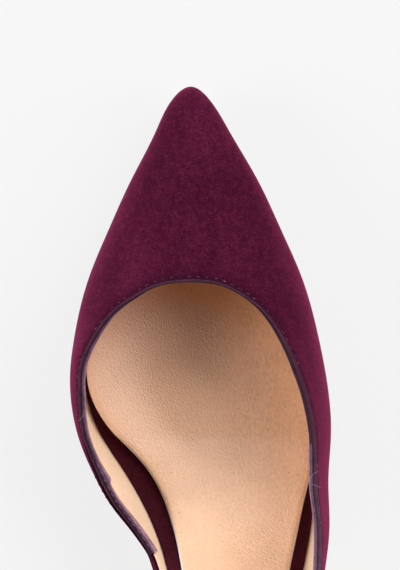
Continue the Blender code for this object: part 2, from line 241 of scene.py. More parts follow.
LAST = [
    Section(6.0, 0.2, 0.2, 20.0, 6.0, 0.2, 0.2, 20.0, 6.0, 0.50),
    Section(7.4, -5.0, 4.0, 22.0, 6.0, 5.5, 4.0, 22.0, 6.0, 0.52),
    Section(14.0, -9.7, 13.4, 24.0, 8.0, 11.3, 13.4, 24.0, 8.0, 0.55),
    Section(28.0, -16.8, 28.0, 26.0, 11.0, 19.5, 28.0, 26.0, 11.0, 0.58),
    Section(44.0, -23.8, 44.0, 26.0, 14.0, 26.8, 44.0, 26.0, 14.0, 0.60),
    Section(57.9, -29.2, 57.9, 26.0, 17.0, 32.8, 57.9, 25.0, 16.0, 0.60),
    Section(76.0, -33.4, 76.0, 26.0, 20.0, 38.0, 76.0, 22.0, 18.0, 0.58),
    Section(92.0, -34.2, 92.0, 27.0, 23.0, 41.0, 92.0, 20.0, 20.0, 0.55),
    Section(106.0, -30.0, 106.0, 35.0, 27.5, 41.8, 106.0, 20.0, 21.0, 0.52),
    Section(120.0, -21.4, 120.0, 44.0, 31.0, 40.4, 120.0, 27.0, 19.0, 0.50),
    Section(134.0, -13.9, 134.0, 43.0, 33.0, 39.2, 134.0, 42.0, 18.0, 0.50),
    Section(150.0, -8.6, 150.0, 38.0, 36.0, 36.0, 150.0, 38.0, 22.0, 0.50),
    Section(168.0, -7.4, 168.0, 30.0, 38.0, 32.8, 168.0, 30.0, 30.0, 0.50),
    Section(186.0, -10.6, 187.0, 22.0, 38.0, 32.4, 187.0, 22.0, 36.0, 0.50),
    Section(200.0, -13.8, 204.0, 16.0, 40.0, 32.8, 204.0, 16.0, 40.0, 0.52),
    Section(206.5, -7.6, 224.8, 16.0, 42.0, 26.6, 224.8, 16.0, 42.0, 0.54),
    Section(209.0, 9.5, 232.0, 18.0, 43.0, 9.5, 232.0, 18.0, 43.0, 0.55),
]

THROAT = LAST[5]
COLLAR = [
    Edge(60.9, 37.0, 39.5),
    Edge(66.0, 32.0, 36.2),
    Edge(73.0, 28.5, 33.8),
    Edge(82.0, 26.5, 32.4),
    Edge(94.0, 25.5, 31.5),
    Edge(108.0, 25.0, 31.5),
    Edge(122.0, 21.0, 32.0),
    Edge(131.0, 11.5, 32.5),
    Edge(138.0, 5.6, 32.0),
    Edge(146.0, 3.2, 31.0),
    Edge(157.0, 3.0, 30.0),
    Edge(170.0, 3.0, 30.0),
    Edge(179.0, 7.0, 31.5),
    Edge(189.0, 25.0, 36.5),
    Edge(200.0, 46.0, 47.0),
    Edge(206.5, 52.0, 52.0),
]

SOCK_BORDER = [
    Border(0.0, 0.8, 0.8),
    Border(60.0, 0.8, 0.8),
    Border(82.0, 0.5, 0.8),
    Border(92.0, 0.95, 0.8),
    Border(105.0, 3.9, 0.8),
    Border(117.0, 7.3, 1.2),
    Border(129.0, 6.6, 3.1),
    Border(150.0, 4.2, 4.0),
    Border(175.0, 3.6, 3.4),
    Border(200.0, 1.8, 1.8),
    Border(232.0, 1.4, 1.4),
]

HEEL = [
    HeelRing(0.0, 23.0, 189.0, 231.3),
    HeelRing(0.07, 21.2, 196.0, 231.0),
    HeelRing(0.17, 16.6, 203.4, 229.8),
    HeelRing(0.30, 11.4, 208.6, 227.8),
    HeelRing(0.46, 8.0, 211.4, 225.8),
    HeelRing(0.64, 6.2, 212.8, 224.4),
    HeelRing(0.82, 5.2, 213.5, 223.7),
    HeelRing(1.0, 4.8, 213.8, 223.5),
]

TIP = [
    TipRing(5.4, -0.35),
    TipRing(5.2, 0.0),
    TipRing(4.5, 0.05),
    TipRing(4.35, -0.12),
    TipRing(4.2, 0.05),
    TipRing(1.2, 0.10),
    TipRing(0.35, 0.02),
    TipRing(0.0, -0.45),
]

STRANDS = [
    Strand(99.5, Side.INNER, ((-1.2, 0.42), (-0.8, 0.66), (-0.2, 0.6), (0.5, 0.1)), 2.0),
    Strand(118.5, Side.OUTER, ((-2.0, 0.7), (-1.2, 0.85), (-0.3, 0.7), (0.9, 0.3)), 2.2),
    Strand(120.0, Side.OUTER, ((-1.6, 0.75), (-0.8, 0.8), (0.2, 0.6), (1.3, -0.1)), -1.6),
]


class Spline:
    """A curve with continuous curvature through rows of values."""

    def __init__(
        self,
        knots: Sequence[float],
        values: Sequence,
        closed: bool = False,
        flat_ends: tuple[bool, bool] = (False, False),
    ) -> None:
        """Solves for the curve's bends.

        Args:
            knots: Rising places of the values.
            values: One value, or one row of them, at each knot.
            closed: Whether the curve runs on from its end into its start.
            flat_ends: Whether the curve starts and ends level.
        """
        t = np.asarray(knots, float)
        y = np.asarray(values, float).reshape(len(t), -1)
        h = np.diff(t)
        slope = np.diff(y, axis=0) / h[:, None]
        system = np.zeros((len(t), len(t)))
        right = np.zeros_like(y)
        for i in range(1, len(t) - 1):
            system[i, i - 1 : i + 2] = h[i - 1], 2 * (h[i - 1] + h[i]), h[i]
            right[i] = 6 * (slope[i] - slope[i - 1])
        system[0, 0] = system[-1, -1] = 1.0
        if closed:
            system[0, -1] = -1.0
            system[-1] = 0.0
            system[-1, :2] = 2 * h[0], h[0]
            system[-1, -2:] += h[-1], 2 * h[-1]
            right[-1] = 6 * (slope[0] - slope[-1])
        if flat_ends[0]:
            system[0, :2] = 2 * h[0], h[0]
            right[0] = 6 * slope[0]
        if flat_ends[1]:
            system[-1, -2:] = h[-1], 2 * h[-1]
            right[-1] = -6 * slope[-1]
        self.knots, self.values, self.steps = t, y, h
        self.bends = np.linalg.solve(system, right)

    def __call__(self, at: np.ndarray | float) -> np.ndarray:
        """Rows of values at the given places.

        Args:
            at: Places along the curve.

        Returns:
            One row of values for each place.
        """
        at = np.atleast_1d(np.asarray(at, float))
        i = np.clip(np.searchsorted(self.knots, at, side="right") - 1, 0, len(self.knots) - 2)
        h = self.steps[i]
        a = ((self.knots[i + 1] - at) / h)[:, None]
        b = 1.0 - a
        curve = (a**3 - a) * self.bends[i] + (b**3 - b) * self.bends[i + 1]
        return a * self.values[i] + b * self.values[i + 1] + curve * (h**2 / 6)[:, None]


def running_length(points: np.ndarray) -> np.ndarray:
    """Distance along a row of points, from its start to each of them.

    Args:
        points: The row of points.

    Returns:
        One distance for each point, the first of them 0.
    """
    steps = np.linalg.norm(np.diff(points, axis=0), axis=1)
    return np.concatenate([[0.0], np.cumsum(steps)])


def unit(vectors: np.ndarray) -> np.ndarray:
    """Rows of vectors, each made one long."""
    return vectors / np.linalg.norm(vectors, axis=-1, keepdims=True)


def ease(at: np.ndarray | float, start: float, end: float) -> np.ndarray:
    """A smooth step from 0 at start to 1 at end."""
    share = np.clip((np.asarray(at, float) - start) / (end - start), 0, 1)
    return share * share * (3 - 2 * share)


def bump_curve(at: np.ndarray | float, middle: float, reach: float) -> np.ndarray:
    """A smooth hump of height 1 at its middle."""
    return np.exp(-(((np.asarray(at, float) - middle) / reach) ** 2))


@dataclass(frozen=True)
class CollarLoop:
    """The collar as a closed row of points, with the wall's frame at each of them."""

    length: float
    along: np.ndarray
    edge: np.ndarray
    normal: np.ndarray
    beyond: np.ndarray

    def frames(self, q: np.ndarray) -> tuple[np.ndarray, np.ndarray, np.ndarray]:
        """The collar's frame at given distances along it.

        Args:
            q: Distances from the throat by the inner side, which may run past the ends.

        Returns:
            The edge's points, the wall's outward normals, and the ways on past the edge.
        """
        places = np.append(self.along, self.length)
        wrapped = np.mod(q, self.length)
        rows = []
        for table in (self.edge, self.normal, self.beyond):
            closed = np.vstack([table, table[:1]])
            rows.append(np.column_stack([np.interp(wrapped, places, c) for c in closed.T]))
        return rows[0], unit(rows[1]), unit(rows[2])

    def ways(self, q: np.ndarray, reach: float = 0.5) -> np.ndarray:
        """The collar's directions at distances q along it, felt over reach to each side."""
        return self.frames(q + reach)[0] - self.frames(q - reach)[0]


@dataclass
class Last:
    """The form that the shoe is drawn on, with the curves that its pieces follow.

    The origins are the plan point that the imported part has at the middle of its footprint.
    """

    origin_x: float = 3.2799
    origin_u: float = 117.7318
    gap: float = 0.3
    wall: float = 1.8
    outsole: float = 2.9
    tread_front: float = 82.0
    toe_spring: float = 5.2
    back_girth: float = 54.0
    bare_front_u: float = 143.0
    bare_back_u: float = 178.0
    edge_on: float = 1.1
    edge_ease: float = 8.0
    shoulder_on: float = 1.1
    shoulder_reach: float = 7.0
    inner_shoulder: float = 19.0
    outer_shoulder: float = -16.0
    flare: float = 1.7
    flare_u: float = 83.5
    flare_reach: float = 10.0
    flare_rise: tuple[float, float] = (8.0, 27.0)
    aim_samples: int = 4000
    wall_samples: int = 400
    collar_samples: int = 6000
    loop_samples: int = 1600
    probe: float = 0.05
    share_probe: float = 0.002

    def __post_init__(self) -> None:
        """Draws the curves through the tables."""
        self.tread_height = self.outsole + self.gap
        self.tread_back = ARCH[0].u
        self.arch = Spline([r.u for r in ARCH], [r.rise for r in ARCH], flat_ends=(True, False))
        self.spine = Spline([r.u for r in SPINE], [(r.x, r.height) for r in SPINE])
        inner = [(r.med_x, r.med_u, r.spine_u, r.med_lean, r.med_pull, r.crown) for r in reversed(LAST)]
        outer = [(r.lat_x, r.lat_u, r.spine_u, r.lat_lean, r.lat_pull, r.crown) for r in LAST]
        rows = np.array(inner + outer[1:])
        knots = running_length(rows[:, :2])
        self.loop_length = float(knots[-1])
        self.toe_at = float(knots[len(LAST) - 1])
        self.loop = Spline(knots, rows, closed=True)
        self.draw_collar()

    def bottom_height(self, u: np.ndarray | float) -> np.ndarray:
        """Height of the bottom line, on which the wall and the board stand.

        Args:
            u: Places along the shoe.

        Returns:
            The height at each place.
        """
        u = np.asarray(u, float)
        spring = self.toe_spring * (np.clip(self.tread_front - u, 0, None) / self.tread_front) ** 2
        arch = self.arch(np.maximum(u, self.tread_back).ravel())[:, 0].reshape(u.shape)
        return self.tread_height + spring + arch

    def bottom_point(self, u: np.ndarray, lift: np.ndarray) -> tuple[np.ndarray, np.ndarray]:
        """The bottom line moved off itself along its normal.

        Args:
            u: Places along the shoe.
            lift: How far each point is moved, upwards positive.

        Returns:
            The moved points' places and heights.
        """
        ahead, behind = self.bottom_height(u + self.probe), self.bottom_height(u - self.probe)
        slope = (ahead - behind) / (2 * self.probe)
        run = 1.0 / np.sqrt(1.0 + slope**2)
        return u - lift * slope * run, self.bottom_height(u) + lift * run

    def points(self, s: np.ndarray, share: np.ndarray) -> np.ndarray:
        """Points on the last's surface.

        Args:
            s: Places round the loop, from the heel's back by the inner side to the toe and back.
            share: How far from the foot of the wall (0) to the spine (1).

        Returns:
            One row of x, u and height for each point.
        """
        s = np.mod(s, self.loop_length)
        foot_x, foot_u, spine_u, lean, pull, crown = self.loop(s).T
        spine_x, spine_z = self.spine(spine_u).T
        foot_z = self.bottom_height(foot_u)
        reach = np.hypot(spine_x - foot_x, spine_u - foot_u)
        out = -pull * np.sin(np.radians(lean))
        up = foot_z + pull * np.cos(np.radians(lean))
        share = np.asarray(share, float)
        b1 = 3 * (1 - share) ** 2 * share
        b2 = 3 * (1 - share) * share**2
        b3 = share**3
        height = (1 - share) ** 3 * foot_z + b1 * up + (b2 + b3) * spine_z
        flare = self.flare * bump_curve(foot_u, self.flare_u, self.flare_reach) * (s < self.toe_at)
        flare = flare * ease(height - foot_z, *self.flare_rise)
        inward = (b1 * out + b2 * reach * (1 - crown) + b3 * reach - flare) / reach
        x = foot_x + inward * (spine_x - foot_x)
        u = foot_u + inward * (spine_u - foot_u)
        return np.column_stack([x, u, height])

    def side_run(self, side: Side) -> tuple[float, float]:
        """The places on the loop where one side starts and ends."""
        return (self.toe_at, self.loop_length) if side is Side.OUTER else (0.0, self.toe_at)

    def place(self, spine_u: float, side: Side) -> float:
        """Where on the loop the wall of one side aims at a station of the spine.

        Args:
            spine_u: The spine's station.
            side: The side of the foot.

        Returns:
            The place on the loop.
        """
        s = np.linspace(*self.side_run(side), self.aim_samples)
        aims = self.loop(np.minimum(s, self.loop_length - TINY))[:, SPINE_U]
        order = np.argsort(aims)
        return float(np.interp(spine_u, aims[order], s[order]))

    def share_at_girth(self, s: float, girth: float) -> float:
        """How far from foot to spine a point of the wall lies.

        Args:
            s: The place on the loop.
            girth: How far up the wall the point is.

        Returns:
            The share of the way.
        """
        shares = np.linspace(0, 1, self.wall_samples)
        wall = self.points(np.full_like(shares, s), shares)
        return float(np.interp(girth, running_length(wall), shares))

    def draw_collar(self) -> None:
        """Draws the collar from the throat by the inner side round the heel and back to the throat."""
        rows = [(self.place(THROAT.spine_u, Side.INNER), 1.0)]
        for edge in COLLAR:
            s = self.place(edge.spine_u, Side.INNER)
            rows.append((s, self.share_at_girth(s, edge.med_girth)))
        rows.append((0.0, self.share_at_girth(0.0, self.back_girth)))
        for edge in reversed(COLLAR):
            s = self.place(edge.spine_u, Side.OUTER)
            rows.append((s - self.loop_length, self.share_at_girth(s, edge.lat_girth)))
        rows.append((self.place(THROAT.spine_u, Side.OUTER) - self.loop_length, 1.0))
        self.fit_collar(np.array(rows))
        self.run_collar_on()

    def fit_collar(self, rows: np.ndarray) -> None:
        """Draws the collar's curves.

        Args:
            rows: Places on the loop and shares of the wall that the collar runs through.
        """
        knots = running_length(self.points(rows[:, 0], rows[:, 1]))
        self.collar_length = float(knots[-1])
        self.collar_place = Spline(knots, rows[:, 0], flat_ends=(True, True))
        self.collar_share = Spline(knots, rows[:, 1])

    def run_collar_on(self, count: int = 140) -> None:
        """Runs the suede on past the solid wall where tape binds it, so that the two together end there.

        Args:
            count: How many points the new edge is drawn through.
        """
        loop = self.collar_loop()
        front = self.collar_distance(self.bare_front_u, Side.INNER)
        back = self.collar_distance(self.bare_back_u, Side.INNER)
        along = np.linspace(0, self.collar_length, count + 1)
        away = ease(np.maximum(front - along, along - back), 0.0, self.edge_ease)
        shoulders = bump_curve(along, self.inner_shoulder, self.shoulder_reach)
        shoulders += bump_curve(along - self.collar_length, self.outer_shoulder, self.shoulder_reach)
        edge, _, beyond = loop.frames(along * loop.length / self.collar_length)
        target = edge + (self.edge_on * away + self.shoulder_on * shoulders)[:, None] * beyond
        s, share = self.nearest(target, *self.collar_at(along))
        s[0] = self.place(target[0, 1], Side.INNER)
        s[-1] = self.place(target[0, 1], Side.OUTER) - self.loop_length
        share[0] = share[-1] = 1.0
        self.throat_u = float(target[0, 1])
        self.fit_collar(np.column_stack([s, share]))

    def nearest(
        self, target: np.ndarray, s: np.ndarray, share: np.ndarray, passes: int = 8
    ) -> tuple[np.ndarray, np.ndarray]:
        """Places on the last's surface nearest to points beside it.

        Args:
            target: The points.
            s: First guesses of the places on the loop.
            share: First guesses of the shares of the wall.
            passes: How often the guesses are mended.

        Returns:
            The places on the loop and the shares of the wall.
        """
        for _ in range(passes):
            here = self.points(s, share)
            onward = (self.points(s + self.probe, share) - here) / self.probe
            upward = (here - self.points(s, share - self.share_probe)) / self.share_probe
            miss = target - here
            aa, bb = (onward**2).sum(1), (upward**2).sum(1)
            ab = (onward * upward).sum(1)
            da, db = (miss * onward).sum(1), (miss * upward).sum(1)
            spread = aa * bb - ab**2
            s = s + (da * bb - db * ab) / spread
            share = np.minimum(share + (db * aa - da * ab) / spread, 1.0)
        return s, share

    def collar_at(self, q: np.ndarray) -> tuple[np.ndarray, np.ndarray]:
        """Places on the loop, and shares of the wall, of the collar at distances q from the throat."""
        return self.collar_place(q)[:, 0], np.clip(self.collar_share(q)[:, 0], 0, 1)

    def collar_loop(
        self, count: int = 1800, reach: float = 0.2, down: float = 0.004, steady: int = 6
    ) -> CollarLoop:
        """The collar's frames all round.

        Args:
            count: How many points the loop has.
            reach: How far to each side the wall is felt.
            down: How far down the wall is felt, as a share of it.
            steady: Over how many points to each side the normals are evened out.

        Returns:
            The loop, from the throat by the inner side.
        """
        s, share = self.collar_at(np.linspace(0, self.collar_length, count, endpoint=False))
        edge = self.points(s, share)
        onward = self.points(s + reach, share) - self.points(s - reach, share)
        upward = edge - self.points(s, share - down)
        normal = unit(np.cross(onward, upward))
        normal *= np.sign(normal[np.argmax(edge[:, 0]), 0])
        normal = unit(sum(np.roll(normal, k, axis=0) for k in range(-steady, steady + 1)))
        beyond = unit(np.cross(normal, np.roll(edge, -1, axis=0) - np.roll(edge, 1, axis=0)))
        beyond *= np.sign(beyond[np.argmax(edge[:, 1]), 2])
        along = running_length(np.vstack([edge, edge[:1]]))
        return CollarLoop(float(along[-1]), along[:-1], edge, normal, beyond)

    def collar_distance(self, spine_u: float, side: Side) -> float:
        """Distance along the collar, from the throat by the inner side, to a station of the spine.

        Args:
            spine_u: The spine's station.
            side: The side of the foot.

        Returns:
            The distance in millimetres.
        """
        q = np.linspace(0, self.collar_length, self.collar_samples)
        s, share = self.collar_at(q)
        target = self.place(spine_u, side)
        if side is Side.OUTER:
            target -= self.loop_length
        along = running_length(self.points(s, share))
        return float(np.interp(-target, -s, along))

    def lean_at(self, u: np.ndarray, side: Side) -> np.ndarray:
        """How far the foot of one side's wall leans out, in radians.

        Args:
            u: Places along the shoe.
            side: The side of the foot.

        Returns:
            The lean at each place.
        """
        start, end = self.side_run(side)
        rows = self.loop(np.linspace(start, end - TINY, self.loop_samples))
        order = np.argsort(rows[:, FOOT_U])
        return np.radians(np.interp(u, rows[order, FOOT_U], rows[order, LEAN]))

    def plan_inward(self, s: np.ndarray, reach: float = 0.3) -> np.ndarray:
        """The way in from the foot of the wall, level.

        Args:
            s: Places on the loop.
            reach: How far to each side the foot is felt.

        Returns:
            The way in plan at each place.
        """
        ahead = self.loop(np.mod(s + reach, self.loop_length))[:, :2]
        behind = self.loop(np.mod(s - reach, self.loop_length))[:, :2]
        along = unit(ahead - behind)
        return np.column_stack([-along[:, 1], along[:, 0]]) * self.turn

    @property
    def turn(self) -> float:
        """Which way round the loop runs in plan.

        Returns:
            The turn as 1 or -1.
        """
        places = np.linspace(0, self.loop_length, self.wall_samples, endpoint=False)
        x, u = self.loop(places)[:, :2].T
        area = (x * np.roll(u, -1) - u * np.roll(x, -1)).sum()
        return 1.0 if area > 0 else -1.0

    def outline(self, inset: float) -> "Outline":
        """The foot of the wall in plan.

        Args:
            inset: How far it is moved in.

        Returns:
            The outline.
        """
        s = np.linspace(0, self.loop_length, self.loop_samples, endpoint=False)
        moved = self.loop(s)[:, :2] + inset * self.plan_inward(s)
        toe = int(np.argmin(moved[:, 1]))
        back = int(np.argmax(moved[:, 1]))
        inner = np.roll(moved, -back, axis=0)[: (toe - back) % len(moved) + 1][::-1]
        outer = np.roll(moved, -toe, axis=0)[: (back - toe) % len(moved) + 1]
        return Outline(float(moved[toe, 1]), float(moved[back, 1]), inner, outer)

    def to_world(self, points: np.ndarray) -> np.ndarray:
        """Turns plan millimetres into metres in the part's own frame, with the toe towards +Y.

        Args:
            points: Rows of x, u and height.

        Returns:
            The same rows as x, y and z.
        """
        points = np.asarray(points, float)
        x = points[..., 0] - self.origin_x
        y = self.origin_u - points[..., 1]
        return np.stack([x, y, points[..., 2]], axis=-1) * MM

    def bottom_rings(self, u: np.ndarray, sections: np.ndarray) -> np.ndarray:
        """Rings that follow the bottom line.

        Args:
            u: The rings' places along the shoe.
            sections: For each ring its points, across the shoe and off the bottom line.

        Returns:
            The rings' points in metres.
        """
        places = np.repeat(u[:, None], sections.shape[1], axis=1)
        line_u, line_z = self.bottom_point(places, sections[..., 1])
        return self.to_world(np.stack([sections[..., 0], line_u, line_z], axis=-1))


@dataclass(frozen=True)
class Outline:
    """A plan outline, as its inner and outer sides from toe to back."""

    toe: float
    back: float
    inner: np.ndarray
    outer: np.ndarray

    def inner_x(self, u: np.ndarray) -> np.ndarray:
        """The inner side's x at places u."""
        return np.interp(u, self.inner[:, 1], self.inner[:, 0])

    def outer_x(self, u: np.ndarray) -> np.ndarray:
        """The outer side's x at places u."""
        return np.interp(u, self.outer[:, 1], self.outer[:, 0])


def take_up(piece: Piece) -> None:
    """Makes a piece the only selected object and the active one.

    Args:
        piece: The piece.
    """
    bpy.ops.object.select_all(action="DESELECT")
    piece.select_set(True)
    bpy.context.view_layer.objects.active = piece


def set_points(piece: Piece, points: np.ndarray) -> None:
    """Puts a mesh's vertices where points say, in metres."""
    piece.data.vertices.foreach_set("co", np.ascontiguousarray(points, np.float32).ravel())
    piece.data.update()


def read_rows(rows: bpy.types.bpy_prop_collection, key: str) -> np.ndarray:
    """Reads three numbers for each vertex of a mesh.

    Args:
        rows: The mesh's rows.
        key: Blender's name for the numbers.

    Returns:
        One row for each vertex.
    """
    numbers = np.empty(len(rows) * 3, np.float32)
    rows.foreach_get(key, numbers)
    return numbers.reshape(-1, 3).astype(float)


def get_points(piece: Piece) -> np.ndarray:
    """Where a mesh's vertices are, in metres."""
    return read_rows(piece.data.vertices, "co")


def get_normals(piece: Piece) -> np.ndarray:
    """Which way a mesh's vertices face."""
    return read_rows(piece.data.vertex_normals, "vector")


def edit_mesh(piece: Piece, *steps: Callable[[], object]) -> None:
    """Takes a piece into edit mode and does steps on all of it.

    Args:
        piece: The piece.
        *steps: Operators, each of them run with everything selected.
    """
    take_up(piece)
    bpy.ops.object.mode_set(mode="EDIT")
    for step in steps:
        bpy.ops.mesh.select_all(action="SELECT")
        step()
    bpy.ops.object.mode_set(mode="OBJECT")


def add_sheet(name: str, points: np.ndarray) -> Piece:
    """Adds a grid and shapes it through rows of points, with its doubles merged.

    Args:
        name: The piece's name.
        points: Rows by columns of points, in metres.

    Returns:
        The new piece, whose UV map runs 0 to 1 along the columns and the rows.
    """
    rows, columns = points.shape[:2]
    bpy.ops.object.select_all(action="DESELECT")
    bpy.ops.mesh.primitive_grid_add(x_subdivisions=columns - 1, y_subdivisions=rows - 1, size=MM)
    piece = bpy.context.object
    piece.name = piece.data.name = name
    set_points(piece, points.reshape(-1, 3))
    edit_mesh(piece, MERGE_DOUBLES, TURN_OUT)
    return piece


def face_out(piece: Piece, way: Sequence[float]) -> None:
    """Turns an open sheet over if its normals point against way on the whole.

    Args:
        piece: The sheet.
        way: The direction that the face furthest that way has to face.
    """
    furthest = max(piece.data.polygons, key=lambda face: face.center.dot(Vector(way)))
    if furthest.normal.dot(Vector(way)) < 0:
        edit_mesh(piece, bpy.ops.mesh.flip_normals)


def apply_modifier(piece: Piece, kind: str, **settings: float | bool | str) -> None:
    """Adds a modifier to a piece and applies it.

    Args:
        piece: The piece.
        kind: Blender's name for the modifier.
        **settings: Values for the modifier.
    """
    take_up(piece)
    modifier = piece.modifiers.new(kind.lower(), kind)
    for key, value in settings.items():
        setattr(modifier, key, value)
    bpy.ops.object.modifier_apply(modifier=modifier.name)


def smooth(piece: Piece, angle: float) -> None:
    """Shades a piece smooth, with edges sharper than angle left sharp."""
    take_up(piece)
    bpy.ops.object.shade_smooth_by_angle(angle=math.radians(angle))


def add_skin(name: str, rings: np.ndarray, angle: float = 40.0) -> Piece:
    """Adds a closed solid through rings of points, capped at both ends and shaded smooth.

    Args:
        name: The piece's name.
        rings: Rings by points, in metres; each ring runs on into its start.
        angle: Edges sharper than this stay sharp, in degrees.

    Returns:
        The new piece, whose UV map runs 0 to 1 round the ring and along the rings.
    """
    piece = add_sheet(name, np.concatenate([rings, rings[:, :1]], axis=1))
    edit_mesh(piece, FILL_ENDS, TURN_OUT)
    smooth(piece, angle)
    return piece


def join(pieces: Sequence[Piece], name: str, angle: float = 60.0) -> Piece:
    """Joins pieces into one and shades it smooth.

    Args:
        pieces: The pieces.
        name: The name of the whole.
        angle: Edges sharper than this stay sharp, in degrees.

    Returns:
        The whole.
    """
    take_up(pieces[0])
    for piece in pieces:
        piece.select_set(True)
    bpy.ops.object.join()
    whole = bpy.context.object
    whole.name = whole.data.name = name
    smooth(whole, angle)
    return whole


def mark_edges(piece: Piece, count: int, near: float, toe_face: float = math.inf) -> None:
    """Gives the faces along the two edges of a piece made of rings its second material.

    Args:
        piece: The piece.
        count: How many points a ring has.
        near: How many faces of a ring belong to each edge.
        toe_face: How squarely towards the toe a face has to point to count as edge as well.
    """
    layer = piece.data.uv_layers.active.data
    for face in piece.data.polygons:
        middle = np.mean([layer[i].uv[0] for i in face.loop_indices]) * count
        beside = middle < near or count - near - 1.0 < middle < count - 1.0
        face.material_index = int(beside or face.normal.y > toe_face)


def paint(piece: Piece, *materials: bpy.types.Material) -> None:
    """Gives a piece its materials, in slot order."""
    for material in materials:
        piece.data.materials.append(material)


def thicken(piece: Piece, thickness: float, shares: np.ndarray, angle: float = 50.0) -> None:
    """Gives a sheet its thickness, inwards.

    Args:
        piece: The sheet.
        thickness: The full thickness in millimetres.
        shares: The share of it that each point gets.
        angle: Edges sharper than this stay sharp, in degrees.
    """
    group = piece.vertex_groups.new(name="share")
    for i, share in enumerate(shares):
        group.add([i], float(share), "REPLACE")
    apply_modifier(piece, "SOLIDIFY", thickness=thickness * MM, offset=-1.0, vertex_group="share")
    piece.vertex_groups.clear()
    smooth(piece, angle)


def settle(piece: Piece, slot: Slot, *nodes: str) -> None:
    """Hangs a finished piece on the shoe and reports it.

    Args:
        piece: The finished piece.
        slot: The record's slot for the piece's finish; not used.
        *nodes: The solids that it stands for.
    """
    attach(piece, BODY)
    if nodes:
        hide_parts(*nodes)
    triangles = sum(len(face.vertices) - 2 for face in piece.data.polygons)
    LOG.info("%s: %d triangles", piece.name, triangles)


